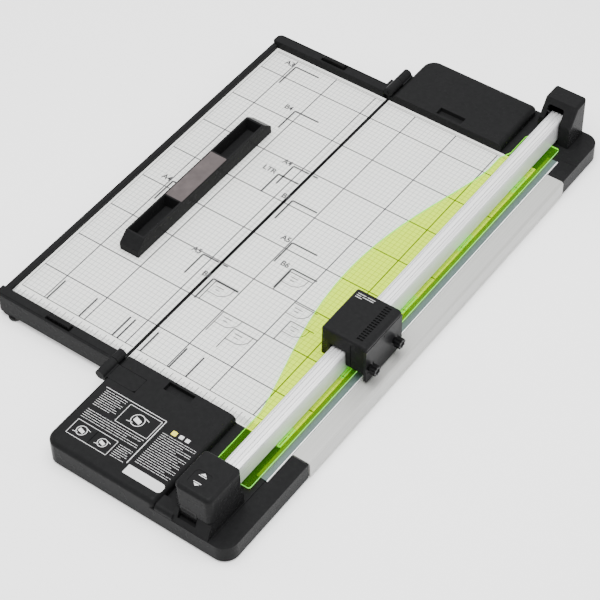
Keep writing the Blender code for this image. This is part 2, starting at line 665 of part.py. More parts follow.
def carriage_cover():
    cover = prism(rounded(*COVER_X, *CARRIAGE_Y, (2, 0.5, 0.5, 2)), *COVER_Z)
    soften(cover, 1.6, at_level(COVER_Z[1]))
    inside = block((COVER_X[0] + COVER_WALL, COVER_X[1] + 1),
                   (CARRIAGE_Y[0] + COVER_WALL, CARRIAGE_Y[1] - COVER_WALL),
                   (COVER_Z[0] - 1, COVER_Z[1] - COVER_WALL))
    tunnel = block((RAIL_X[0] - 1.2, RAIL_X[1] + 1.2), (CARRIAGE_Y[0] - 1, CARRIAGE_Y[1] + 1),
                   (COVER_Z[0] - 1, RAIL_Z[1] + 2.6))
    slots = []
    for column in (0.4, 4.2):
        for k in range(12):
            y = CARRIAGE_Y[0] + 8.0 + 3.9 * k
            slots.append(block((column, column + 2.8), (y, y + 1.5), (COVER_Z[1] - 0.7, COVER_Z[1] + 1)))
    finish("carriage_cover", combine(cover, [inside, tunnel] + slots), black_plastic(), "head_pivot")


def blade_cartridge():
    """Side plate with the pocket wall that carries the blade's axle."""
    y0, y1 = CARRIAGE_Y
    plate = prism(rounded(y0, y1, *PLATE_Z, (1.5, 6, 1.5, 1.5)), *PLATE_X, "X")
    boss = rod((CARRIAGE_MID_Y, BLADE_Z), 6.0, 3.0, PLATE_X[0] + 1, "X")
    holes = [rod((y, KNOB_Z), 1.9, PLATE_X[0] - 1, PLATE_X[1] + 1, "X", 16) for y in KNOB_Y]
    axle_hole = rod((CARRIAGE_MID_Y, BLADE_Z), BLADE_AXLE_R + GAP, 2, 9.0, "X", 20)
    peep = rod((CARRIAGE_MID_Y, 43.0), 0.9, PLATE_X[0] - 1, PLATE_X[1] + 1, "X", 12)
    body = combine(plate, [boss], "UNION")
    finish("blade_cartridge", combine(body, holes + [axle_hole, peep]), black_plastic(), "head_pivot")


def blade():
    disc = turned([(BLADE_AXLE_R + GAP, -BLADE_T / 2), (BLADE_R - 1.5, -BLADE_T / 2), (BLADE_R, 0.0),
                   (BLADE_R - 1.5, BLADE_T / 2), (BLADE_AXLE_R + GAP, BLADE_T / 2)],
                  (CARRIAGE_MID_Y, BLADE_Z), "X", 48)
    bore = rod((CARRIAGE_MID_Y, BLADE_Z), BLADE_AXLE_R + GAP, -2, 2, "X", 24)
    finish("blade_disc", combine(disc, [bore]), steel(), "blade_pivot")
    axle = turned([(3.4, -2.4), (3.8, -2.0), (3.8, -BLADE_T), (BLADE_AXLE_R, -BLADE_T),
                   (BLADE_AXLE_R, 8.6)], (CARRIAGE_MID_Y, BLADE_Z), "X", 20)
    finish("blade_axle", axle, steel(), "head_pivot")


def knob(name, y, carrier):
    """A thumbscrew with eight lobes round its head."""
    lobes = 8
    outline = []
    for i in range(lobes * 4):
        a = 2 * pi * i / (lobes * 4)
        r = KNOB_R - 0.55 + 0.55 * cos(lobes * a)
        outline.append((y + r * cos(a), KNOB_Z + r * sin(a)))
    head = prism(outline, PLATE_X[1] + 2.4, PLATE_X[1] + 8.6, "X")
    stem = turned([(1.5, 11.0), (1.5, PLATE_X[1] + GAP), (3.4, PLATE_X[1] + GAP),
                   (3.4, PLATE_X[1] + 3.0)], (y, KNOB_Z), "X", 16)
    finish(name, combine(head, [stem], "UNION"), dark_plastic(), carrier)


def return_springs():
    for name, y in (("front_return_spring", CARRIAGE_MID_Y - 16), ("rear_return_spring", CARRIAGE_MID_Y + 16)):
        spring = coil((RAIL_MID_X, y), 3.6, 0.45, SHOE_Z[1] + GAP, COVER_Z[1] - COVER_WALL - GAP, 4, "Z")
        finish(name, spring, steel(), "carriage_pivot")


# ---- assembly -----------------------------------------------------------------------
pivot("tray_pivot", HINGE_X, 0.5 * TABLE_LENGTH, HINGE_Z)
pivot("stop_pivot", 0.5 * sum(STOP_X), 0.5 * sum(STOP_Y), 0, "tray_pivot")
pivot("rail_pivot", RAIL_MID_X, PIVOT_Y, PIVOT_Z)
pivot("clamp_pivot", CLAMP_RIGHT, 0.5 * sum(CLAMP_Y), CLAMP_Z[1], "rail_pivot")
pivot("latch_pivot", -23.0, CAP_Y[0], 20.0, "rail_pivot")
pivot("carriage_pivot", RAIL_MID_X, CARRIAGE_MID_Y, RAIL_Z[1], "rail_pivot")
pivot("head_pivot", RAIL_MID_X, CARRIAGE_MID_Y, COVER_Z[1], "carriage_pivot")
pivot("blade_pivot", 0, CARRIAGE_MID_Y, BLADE_Z, "head_pivot")
pivot("front_knob_pivot", PLATE_X[1], KNOB_Y[0], KNOB_Z, "head_pivot")
pivot("rear_knob_pivot", PLATE_X[1], KNOB_Y[1], KNOB_Z, "head_pivot")

front_block()
rear_block()
bottom_cover("front_bottom_cover", FRONT_Y + WALL, -WALL - GAP,
             (7, CORNER_R - WALL, 0.5, 0.5), FRONT_SCREW_Y)
bottom_cover("rear_bottom_cover", TABLE_LENGTH + WALL + GAP, TALL_REAR_Y - WALL,
             (0.5, 0.5, CORNER_R - WALL, CORNER_R - WALL), REAR_SCREW_Y)
hinge_cover()
table()
edge_extrusion()
cutting_mat()
for side, x in zip(("left", "right"), SCREW_X):
    foot("front_" + side + "_foot", x, -100.0, BASE_Z - GAP)
    foot("rear_" + side + "_foot", x, 488.0, BASE_Z - GAP)
    screw("front_" + side + "_screw", x, FRONT_SCREW_Y)
    screw("rear_" + side + "_screw", x, REAR_SCREW_Y)
fold_out_table()
hinge_pins()
paper_stop()
rail()
rail_ends()
front_cap()
latch()
clamp_sheet()
carriage_shoe()
carriage_cover()
blade_cartridge()
blade()
knob("front_knob", KNOB_Y[0], "front_knob_pivot")
knob("rear_knob", KNOB_Y[1], "rear_knob_pivot")
return_springs()
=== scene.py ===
"""Looks of the rotary paper trimmer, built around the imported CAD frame.

Shapes are drawn in millimetres in the cutting frame: X = 0 is the cutting line, Y = 0 the
paper edge of the front guide and Z = 0 the table's top.  The frame gives that origin.
"""
from math import cos, sin, pi, radians
import bpy
import bmesh
from mathutils import Matrix, Vector


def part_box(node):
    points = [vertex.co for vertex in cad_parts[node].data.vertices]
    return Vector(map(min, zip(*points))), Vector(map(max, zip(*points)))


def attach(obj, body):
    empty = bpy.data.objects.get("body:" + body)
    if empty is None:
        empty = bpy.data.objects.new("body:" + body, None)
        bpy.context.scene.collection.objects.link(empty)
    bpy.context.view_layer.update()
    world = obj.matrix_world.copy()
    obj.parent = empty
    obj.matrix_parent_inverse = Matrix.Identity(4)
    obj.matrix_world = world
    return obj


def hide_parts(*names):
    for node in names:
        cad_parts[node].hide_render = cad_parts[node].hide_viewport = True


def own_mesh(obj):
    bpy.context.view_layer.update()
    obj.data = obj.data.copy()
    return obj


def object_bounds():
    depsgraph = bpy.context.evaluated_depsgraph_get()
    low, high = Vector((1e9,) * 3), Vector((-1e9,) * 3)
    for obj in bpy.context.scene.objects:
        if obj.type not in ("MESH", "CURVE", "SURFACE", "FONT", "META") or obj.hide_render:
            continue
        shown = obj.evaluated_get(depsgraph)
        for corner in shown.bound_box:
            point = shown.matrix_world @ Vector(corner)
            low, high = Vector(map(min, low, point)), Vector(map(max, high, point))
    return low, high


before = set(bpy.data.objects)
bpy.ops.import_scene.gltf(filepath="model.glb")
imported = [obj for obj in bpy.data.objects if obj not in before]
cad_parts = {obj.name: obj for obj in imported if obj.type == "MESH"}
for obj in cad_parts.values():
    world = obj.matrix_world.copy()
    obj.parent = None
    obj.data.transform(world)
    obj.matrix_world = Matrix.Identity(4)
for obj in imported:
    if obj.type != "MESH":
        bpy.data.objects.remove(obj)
CAD_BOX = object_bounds()

GAP = 0.3                                   # clearance between pieces, as in the CAD
table_low, table_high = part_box("main_table")
blade_low, blade_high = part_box("blade_disc")
ORIGIN = Vector(((blade_low.x + blade_high.x) / 2, table_low.y - GAP / 1000, table_high.z))
TO_PART = Matrix.Translation(ORIGIN) @ Matrix.Scale(0.001, 4)


def extent(node):
    """A CAD node's (low, high) pairs along X, Y and Z, in cutting-frame millimetres."""
    low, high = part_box(node)
    low, high = (low - ORIGIN) * 1000, (high - ORIGIN) * 1000
    return tuple((low[i], high[i]) for i in range(3))


# ---- shapes -------------------------------------------------------------------------
def arc(cx, cy, r, start, end, steps):
    """Points along an arc, both ends included; angles in degrees."""
    return [(cx + r * cos(radians(start + (end - start) * i / steps)),
             cy + r * sin(radians(start + (end - start) * i / steps)))
            for i in range(steps + 1)]


def rounded(x0, x1, y0, y1, radii=(1, 1, 1, 1), steps=8):
    """Rectangle with rounded corners, counter-clockwise from the low corner."""
    corners = ((x0, y0, 1, 1, 180), (x1, y0, -1, 1, 270), (x1, y1, -1, -1, 0), (x0, y1, 1, -1, 90))
    points = []
    for (x, y, sx, sy, start), r in zip(corners, radii):
        if r > 0:
            points += arc(x + sx * r, y + sy * r, r, start, start + 90, steps)
        else:
            points.append((x, y))
    return points


def prism(outline, low, high, axis="Z"):
    """An outline extruded along an axis; it holds (x, y) for Z, (x, z) for Y, (y, z) for X."""
    order = {"Z": lambda u, v, w: (u, v, w), "Y": lambda u, v, w: (u, w, v),
             "X": lambda u, v, w: (w, u, v)}[axis]
    bm = bmesh.new()
    ends = [[bm.verts.new(order(u, v, w)) for u, v in outline] for w in (low, high)]
    for ring in ends:
        bm.faces.new(ring)
    for i in range(len(outline)):
        j = (i + 1) % len(outline)
        bm.faces.new((ends[0][i], ends[0][j], ends[1][j], ends[1][i]))
    bmesh.ops.recalc_face_normals(bm, faces=bm.faces)
    return bm


def block(x, y, z):
    """Box between pairs of limits."""
    return prism([(x[0], y[0]), (x[1], y[0]), (x[1], y[1]), (x[0], y[1])], z[0], z[1])


def rod(centre, r, low, high, axis="X", steps=48):
    """Cylinder along an axis."""
    return prism(arc(centre[0], centre[1], r, 0, 360, steps)[:-1], low, high, axis)


def soften(bm, width, choose, segments=6, clamp=True):
    """Rounds the edges whose two ends pass choose()."""
    edges = [e for e in bm.edges if choose(e.verts[0].co, e.verts[1].co)
             and e.calc_face_angle(0) > radians(30)]
    bmesh.ops.bevel(bm, geom=edges, offset=width, segments=segments, affect="EDGES",
                    profile=0.5, clamp_overlap=clamp)
    return bm


def at_level(z, tolerance=0.01):
    """Chooser for edges that lie in one horizontal plane."""
    return lambda a, b: abs(a.z - z) < tolerance and abs(b.z - z) < tolerance


def plain_object(bm, name="shape"):
    """Moves a bmesh into a new object of the scene."""
    mesh = bpy.data.meshes.new(name)
    bm.to_mesh(mesh)
    bm.free()
    obj = bpy.data.objects.new(name, mesh)
    bpy.context.collection.objects.link(obj)
    return obj


def evaluated(obj):
    """The object's mesh with its modifiers, as a new mesh."""
    graph = bpy.context.evaluated_depsgraph_get()
    return bpy.data.meshes.new_from_object(obj.evaluated_get(graph), depsgraph=graph)


def combine(base, tools, operation="DIFFERENCE"):
    """Boolean of a bmesh with a list of others, all of which are used up."""
    for tool in tools:
        target, cutter = plain_object(base), plain_object(tool)
        mod = target.modifiers.new("cut", "BOOLEAN")
        mod.object = cutter
        mod.operation = operation
        mod.solver = "EXACT"
        mesh = evaluated(target)
        base = bmesh.new()
        base.from_mesh(mesh)
        bmesh.ops.remove_doubles(base, verts=base.verts, dist=0.001)
        bpy.data.objects.remove(target, do_unlink=True)
        bpy.data.objects.remove(cutter, do_unlink=True)
    bmesh.ops.dissolve_limit(base, angle_limit=radians(0.4), verts=base.verts, edges=base.edges)
    return base


def merged(parts):
    """Several closed shapes in one mesh, without joining them."""
    bm = bmesh.new()
    for part in parts:
        mesh = bpy.data.meshes.new("part")
        part.to_mesh(mesh)
        part.free()
        bm.from_mesh(mesh)
        bpy.data.meshes.remove(mesh)
    return bm


def piece(name, bm, mat, body, replaces=(), bevel=0.0, segments=3, sharp=40):
    """A finished piece: edges rounded by bevel mm, put in the part's frame, and on its body."""
    bmesh.ops.recalc_face_normals(bm, faces=bm.faces)
    bmesh.ops.triangulate(bm, faces=[f for f in bm.faces if len(f.verts) > 4])
    obj = plain_object(bm, name)
    if bevel:
        mod = obj.modifiers.new("edges", "BEVEL")
        mod.width = bevel
        mod.segments = segments
        mod.limit_method = "ANGLE"
        mod.angle_limit = radians(32)
        mod.miter_outer = "MITER_ARC"
    obj.data.shade_smooth()
    mesh = evaluated(obj)
    obj.modifiers.clear()
    obj.data = mesh
    mesh.name = name
    mesh.transform(TO_PART)
    mesh.shade_smooth()
    mesh.set_sharp_from_angle(angle=radians(sharp))
    mesh.materials.clear()
    for entry in (mat if isinstance(mat, (list, tuple)) else [mat]):
        mesh.materials.append(entry)
    if bevel:
        weight = obj.modifiers.new("normals", "WEIGHTED_NORMAL")
        weight.keep_sharp = True
        mesh = evaluated(obj)
        obj.modifiers.clear()
        obj.data = mesh
    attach(obj, body)
    if replaces:
        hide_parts(*replaces)
    return obj


# ---- materials ----------------------------------------------------------------------
class Shader:
    """A Principled material with small helpers for its procedural nodes."""

    def __init__(self, name, colour, roughness, metallic=0.0, **sockets):
        self.mat = bpy.data.materials.new(name)
        self.mat.use_nodes = True
        self.tree = self.mat.node_tree
        self.bsdf = self.tree.nodes["Principled BSDF"]
        self.bsdf.inputs["Base Color"].default_value = (*colour, 1)
        self.bsdf.inputs["Roughness"].default_value = roughness
        self.bsdf.inputs["Metallic"].default_value = metallic
        for socket, value in sockets.items():
            self.bsdf.inputs[socket.replace("_", " ")].default_value = value
        self.place = self.node("ShaderNodeTexCoord").outputs["Object"]

    def node(self, kind, **settings):
        made = self.tree.nodes.new(kind)
        for key, value in settings.items():
            setattr(made, key, value)
        return made

    def link(self, source, target):
        self.tree.links.new(source, target)

    def stretched(self, scale):
        mapping = self.node("ShaderNodeMapping")
        mapping.inputs["Scale"].default_value = scale
        self.link(self.place, mapping.inputs["Vector"])
        return mapping.outputs["Vector"]

    def noise(self, scale, detail=3.0, vector=None):
        tex = self.node("ShaderNodeTexNoise")
        tex.inputs["Scale"].default_value = scale
        tex.inputs["Detail"].default_value = detail
        self.link(vector or self.place, tex.inputs["Vector"])
        return tex.outputs["Fac"]

    def spread(self, value, low, high, start=0.3, end=0.7):
        ramp = self.node("ShaderNodeMapRange")
        ramp.inputs["From Min"].default_value = start
        ramp.inputs["From Max"].default_value = end
        ramp.inputs["To Min"].default_value = low
        ramp.inputs["To Max"].default_value = high
        self.link(value, ramp.inputs["Value"])
        return ramp.outputs["Result"]

    def mix(self, factor, a, b, target="Base Color"):
        mixer = self.node("ShaderNodeMix", data_type="RGBA")
        self.link(factor, mixer.inputs["Factor"])
        for socket, value in ((mixer.inputs["A"], a), (mixer.inputs["B"], b)):
            if isinstance(value, tuple):
                socket.default_value = (*value, 1)
            else:
                self.link(value, socket)
        if target:
            self.link(mixer.outputs["Result"], self.bsdf.inputs[target])
        return mixer.outputs["Result"]

    def bump(self, height, distance, strength=1.0, after=None):
        bump = self.node("ShaderNodeBump")
        bump.inputs["Distance"].default_value = distance
        bump.inputs["Strength"].default_value = strength
        self.link(height, bump.inputs["Height"])
        if after:
            self.link(after, bump.inputs["Normal"])
        self.link(bump.outputs["Normal"], self.bsdf.inputs["Normal"])
        return bump.outputs["Normal"]

    def math(self, operation, a, b=0.0, clamp=False):
        made = self.node("ShaderNodeMath", operation=operation, use_clamp=clamp)
        for socket, value in ((made.inputs[0], a), (made.inputs[1], b)):
            if isinstance(value, (int, float)):
                socket.default_value = value
            else:
                self.link(value, socket)
        return made.outputs[0]


def moulded(name, colour, roughness, grain=0.00005, grain_scale=2600, gloss=0.5):
    """Moulded plastic: spark-eroded grain, faint mottling and slightly polished patches."""
    s = Shader(name, colour, roughness, Specular_IOR_Level=gloss)
    fine = s.noise(grain_scale, 2.0)
    lighter = tuple(min(1.0, c * 1.15 + 0.0005) for c in colour)
    s.mix(s.spread(s.noise(240, 5.0), 0, 1), colour, lighter)
    s.link(s.spread(s.noise(180, 5.0), roughness - 0.03, roughness + 0.03), s.bsdf.inputs["Roughness"])
    s.bump(fine, grain)
    return s.mat


def extruded(name, colour, roughness, metallic=1.0):
    """Satin anodised extrusion with die lines along Y."""
    s = Shader(name, colour, roughness, metallic)
    lines = s.noise(1, 4.0, s.stretched((900, 4, 900)))
    s.mix(s.spread(lines, 0, 1), tuple(c * 0.88 for c in colour), colour)
    s.link(s.spread(s.noise(1, 3.0, s.stretched((900, 9, 900))), roughness - 0.05, roughness + 0.07),
           s.bsdf.inputs["Roughness"])
    s.bump(lines, 0.000006)
    return s.mat


def polished(name, colour, roughness):
    """Metal brushed along the cutting direction."""
    s = Shader(name, colour, roughness, 1.0)
    s.link(s.spread(s.noise(500, 4.0), roughness - 0.04, roughness + 0.08), s.bsdf.inputs["Roughness"])
    s.bump(s.noise(1, 3.0, s.stretched((600, 600, 5000))), 0.000004)
    return s.mat


def soft_rubber(name, colour):
    """Matt, slightly uneven pad."""
    s = Shader(name, colour, 0.85)
    s.mix(s.spread(s.noise(90, 4.0), 0, 1), colour, tuple(c * 1.5 for c in colour))
    s.bump(s.noise(3500, 3.0), 0.00008)
    return s.mat


FINE, HEAVY = 5.0, 50.0                     # printed grid, mm
BORDER_FRONT, BORDER_REAR, BORDER_LEFT = 16.0, 428.5, -328.0
INK = (0.02, 0.02, 0.022)


def printed_board(name):
    """Pale board with a 5 mm grid, heavy lines every 50 mm and a millimetre ruler."""
    s = Shader(name, (0.74, 0.75, 0.72), 0.42)
    split = s.node("ShaderNodeSeparateXYZ")
    s.link(s.place, split.inputs[0])
    x = s.math("MULTIPLY", s.math("SUBTRACT", split.outputs["X"], ORIGIN.x), 1000.0)
    y = s.math("MULTIPLY", s.math("SUBTRACT", split.outputs["Y"], ORIGIN.y), 1000.0)

    def lines(value, period, width):
        shifted = s.math("ADD", s.math("DIVIDE", value, period), 100.5)
        away = s.math("ABSOLUTE", s.math("SUBTRACT", s.math("FRACT", shifted), 0.5))
        return s.math("LESS_THAN", s.math("MULTIPLY", away, period), width / 2)

    def both(a, b):
        return s.math("MULTIPLY", a, b)

    def either(a, b):
        return s.math("MAXIMUM", a, b)

    inside = both(s.math("GREATER_THAN", y, BORDER_FRONT), s.math("LESS_THAN", y, BORDER_REAR))
    inside = both(inside, s.math("GREATER_THAN", x, BORDER_LEFT))
    top = s.math("GREATER_THAN", split.outputs["Z"], ORIGIN.z - 0.0005)
    inside = both(inside, top)
    fine = both(either(lines(x, FINE, 0.55), lines(y, FINE, 0.55)), inside)
    heavy = both(either(lines(x, HEAVY, 1.3), lines(y, HEAVY, 1.3)), inside)
    ticks = both(lines(x, 1.0, 0.32), s.math("LESS_THAN", y, 9.0))
    ticks = either(ticks, both(lines(x, 5.0, 0.6), s.math("LESS_THAN", y, 11.0)))
    ticks = either(ticks, both(lines(x, 10.0, 0.8), s.math("LESS_THAN", y, 13.0)))
    ticks = both(both(ticks, s.math("GREATER_THAN", y, 1.5)), top)
    board = s.mix(s.spread(s.noise(25, 3.0), 0, 1), (0.70, 0.705, 0.68), (0.73, 0.735, 0.71), None)
    board = s.mix(fine, board, (0.38, 0.39, 0.39), None)
    board = s.mix(ticks, board, (0.10, 0.10, 0.11), None)
    s.mix(heavy, board, (0.035, 0.035, 0.04))
    s.bump(s.noise(1800, 2.0), 0.00002)
    return s.mat


BLACK = moulded("black_grained", (0.0105, 0.0106, 0.0109), 0.26, grain=0.00002, gloss=0.025)
DARK = moulded("black_smooth", (0.0065, 0.0065, 0.0067), 0.22, grain=0.00002, gloss=0.04)
PLATE = moulded("black_coarse", (0.011, 0.011, 0.0115), 0.34, grain=0.00005, grain_scale=1500, gloss=0.05)
PRINT = printed_board("printed_board")
ALUMINIUM = extruded("satin_aluminium", (0.96, 0.96, 0.965), 0.32, 0.55)
EDGE_METAL = extruded("pale_anodised", (0.44, 0.44, 0.425), 0.42, 0.25)
STEEL = polished("bright_steel", (0.62, 0.62, 0.63), 0.22)
# Dark grey-blue painted shade: the green sheet's shadow on a paler cutting strip, laid into the strip's
# colour.
MAT = moulded("mat_painted_shade", (0.055, 0.085, 0.082), 0.5, grain=0.00003)
RUBBER = soft_rubber("black_rubber", (0.01, 0.01, 0.01))
PAD = soft_rubber("felt_pad", (0.055, 0.045, 0.045))
INK_MAT = Shader("table_ink", INK, 0.5).mat
WHITE_INK = Shader("white_ink", (0.62, 0.62, 0.62), 0.5).mat
CARD_INK = Shader("card_ink", (0.03, 0.03, 0.03), 0.5).mat
GREY_INK = Shader("grey_ink", (0.42, 0.42, 0.42), 0.5).mat
YELLOW_INK = Shader("yellow_ink", (0.75, 0.66, 0.06), 0.5).mat
WHITE_EDGE = moulded("white_edge", (0.88, 0.88, 0.88), 0.4, grain=0.00002)


def fluorescent(name, tint, colour, painted_glow, body):
    """Clear fluorescent sheet: tinted see-through and glossy, with an emission of painted light that stands
    in for its bright fluorescent look.
    """
    s = Shader(name, colour, 0.05, Emission_Color=(*colour, 1), Emission_Strength=painted_glow)
    clear = s.node("ShaderNodeBsdfTransparent")
    clear.inputs["Color"].default_value = (*tint, 1)
    rim = s.node("ShaderNodeLayerWeight")
    rim.inputs["Blend"].default_value = 0.04
    blend = s.node("ShaderNodeMixShader")
    s.link(s.math("ADD", rim.outputs["Facing"], body, clamp=True), blend.inputs["Fac"])
    s.link(clear.outputs["BSDF"], blend.inputs[1])
    s.link(s.bsdf.outputs["BSDF"], blend.inputs[2])
    s.link(blend.outputs["Shader"], s.tree.nodes["Material Output"].inputs["Surface"])
    return s.mat


# All three materials carry emission as painted light: the sheet, its lugs and most of all its cut edges
# shine as if lit, though they are no lamp.
GREEN = fluorescent("green_acrylic", (0.95, 1.0, 0.35), (0.14, 0.80, 0.03), 0.9, 0.006)
GREEN_LUG = fluorescent("green_lug", (0.8, 1.0, 0.4), (0.22, 0.90, 0.08), 0.5, 0.35)
GREEN_EDGE = fluorescent("green_cut_edge_painted_light", (0.7, 1.0, 0.4), (0.30, 0.95, 0.16), 0.75, 0.85)

KEPT = {
    BLACK: ("tray_side_bar",),
    DARK: ("front_bottom_cover", "rear_bottom_cover", "base_pan", "rail_pivot_block", "rail_end_plug",
           "carriage_shoe", "front_hinge_pin", "rear_hinge_pin"),
    PRINT: ("main_table", "tray_panel"),
    ALUMINIUM: ("mat_channel",),
    STEEL: ("front_left_screw", "front_right_screw", "rear_left_screw", "rear_right_screw",
            "rail_pivot_pin", "latch_spring",
            "front_return_spring", "rear_return_spring", "blade_disc", "blade_axle"),
    RUBBER: ("front_left_foot", "front_right_foot", "rear_left_foot", "rear_right_foot",
             "tray_front_foot", "tray_rear_foot"),
}
for mat, nodes in KEPT.items():
    for node in nodes:
        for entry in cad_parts[node].material_slots:
            entry.material = mat

# ---- sizes taken from the frame -----------------------------------------------------
front_y = extent("front_block")[1]
rear_y, rear_z = extent("rear_block")[1:]
cap_x, cap_y, cap_z = extent("rail_end_cap")
rail_x, rail_y, rail_z = extent("rail")
mat_x, mat_y, mat_z = extent("cutting_mat")
clamp_x, clamp_y, clamp_z = extent("clamp_sheet")
cover_x, cover_y, cover_z = extent("carriage_cover")
stop_x, stop_y, stop_z = extent("paper_stop")
pad_x, pad_y, pad_z = extent("stop_pad")
edge_x, edge_y, edge_z = extent("edge_extrusion")
pin_x, pin_z = extent("front_hinge_pin")[::2]
tail_x, tail_y, tail_z = extent("rail_pivot_pin")
lid_x, lid_y, lid_z = extent("hinge_cover")
panel_x, panel_y, panel_z = extent("tray_panel")
bottom_x, bottom_y, bottom_z = extent("front_bottom_cover")

FOLD = (panel_x[1], extent("main_table")[0][0])
TABLE_END = panel_y[1] + GAP                # paper edge of the rear guide
BASE_Z = bottom_z[0]
CASE_WALL = 2.8                             # outside the bottom covers
CASE_LEFT = bottom_x[0] - CASE_WALL
CASE_RIGHT = bottom_x[1] + CASE_WALL
CASE_TOP = 9.5                              # tall part of both casings
CASE_ROUND = 5.0
DECK = -0.5                                 # low part, beside the rail
HINGE = ((pin_x[0] + pin_x[1]) / 2, (pin_z[0] + pin_z[1]) / 2)
KNUCKLE_R = 5.0
PIN_BORE_R = 1.8
CASE_BARREL_FRONT = (-34.0, -13.5)
TRAY_BARREL_FRONT = (-13.0, -0.6)
TRAY_BARREL_REAR = (TABLE_END + 0.6, 453.5)
CASE_BARREL_REAR = (454.0, 471.0)
LEDGE_FRONT = (-18.0, -0.7)                 # casing ledges under the table's barrels
LEDGE_REAR = (TABLE_END + 0.7, 458.0)
LEDGE_BOTTOM = -12.0
SLOT_X = (-130.5, -100.5)
SLOT_Y = (3.0, 13.0)                        # away from the paper edge of the guides
SLOT_DEPTH = 5.0
CAP_WALL = 2.5
DECK_CORNER = 15                            # outer corners of the low decks
UNDER_CORNER = 12.5                         # the same corners of the bottom covers


def barrel(y0, y1, mate_x):
    """Hinge barrel with the web that joins it to its casing."""
    shape = rod(HINGE, KNUCKLE_R, y0, y1, "Y")
    web = block((min(HINGE[0], mate_x), max(HINGE[0], mate_x)), (y0, y1),
                (HINGE[1] - KNUCKLE_R * 0.9, HINGE[1] - 0.2))
    return combine(shape, [web], "UNION")


def hinge_ledge(y0, y1):
    """The ledge of a casing that lies under the table's own hinge barrel."""
    return block((HINGE[0] - 0.5, CASE_LEFT + 2), (y0, y1), (LEDGE_BOTTOM, HINGE[1] - KNUCKLE_R - 0.6))


# ---- end casings --------------------------------------------------------------------
def front_casing():
    """Tall printed block, low deck and the receiver that the rail's cap drops on."""
    tall_right = -57.0
    tall = prism(rounded(CASE_LEFT, tall_right, front_y[0], -GAP, (12, 6, 0, 0), 10), BASE_Z, CASE_TOP)
    soften(tall, CASE_ROUND, lambda a, b: min(a.z, b.z) > CASE_TOP - 0.01 and (a.y + b.y) / 2 < -8, 8)
    low = prism(rounded(tall_right - 5, CASE_RIGHT, front_y[0], -GAP, (0, DECK_CORNER, 1, 0), 12),
                BASE_Z, DECK)
    seam, sill, face = cap_z[0] - 0.5, BASE_Z + 0.2, front_y[0] + 0.15
    receiver = prism([(face, sill), (cap_y[1], sill), (cap_y[1], seam), (cap_y[0], seam),
                      (face, DECK - 0.5)], *cap_x, "X")
    sill_top, sill_back = 6.8, -104
    brow = [(face, -2), (sill_back, -2), (sill_back, sill_top)]
    brow += arc(face + CASE_ROUND, sill_top - CASE_ROUND, CASE_ROUND, 90, 180, 8)
    body = combine(tall, [low, receiver, prism(brow, tall_right + 0.5, cap_x[0] + 0.6, "X")], "UNION")
    under = prism(rounded(bottom_x[0] - GAP, bottom_x[1] + GAP, bottom_y[0] - GAP, bottom_y[1] + GAP,
                          (7, UNDER_CORNER, 0.5, 0.5)), BASE_Z - 1, bottom_z[1] + GAP)
    pocket = block((cap_x[0] + CAP_WALL, cap_x[1] - CAP_WALL), (cap_y[0] + CAP_WALL, cap_y[1] + 1),
                   (DECK - 0.6, 16))
    notch = block((-33.0, -13.0), (cap_y[0] - 4, cap_y[0] + 3.5), (3.0, 16))
    slot = block(SLOT_X, (-SLOT_Y[1], -SLOT_Y[0]), (CASE_TOP - SLOT_DEPTH, CASE_TOP + 1))
    groove = block((mat_x[0] - GAP, mat_x[1] + GAP), (mat_y[0] - GAP, 2), (mat_z[0] - GAP, 2))
    seat = block((CASE_LEFT - 1, lid_x[1] + GAP), (lid_y[0] - GAP, lid_y[1] + GAP), (CASE_TOP - 2.6, 12))
    tray = prism(rounded(cap_x[1] + 1.2, CASE_RIGHT - 3.2, front_y[0] + 4.2, 1, (2, 10, 0, 0), 10),
                 DECK - 0.9, DECK + 2)
    body = combine(body, [under, pocket, notch, slot, groove, seat, tray])
    body = combine(body, [barrel(*CASE_BARREL_FRONT, CASE_LEFT + 1), hinge_ledge(*LEDGE_FRONT)], "UNION")
    body = combine(body, [rod(HINGE, PIN_BORE_R, CASE_BARREL_FRONT[0] + 0.2, -12, "Y", 24)])
    piece("front_casing", body, BLACK, "base", ["front_block"], bevel=0.5)
    lid = prism(rounded(*lid_x, *lid_y, (1, 4, 1, 1)), *lid_z)
    piece("hinge_lid", lid, BLACK, "base", ["hinge_cover"], bevel=0.35)


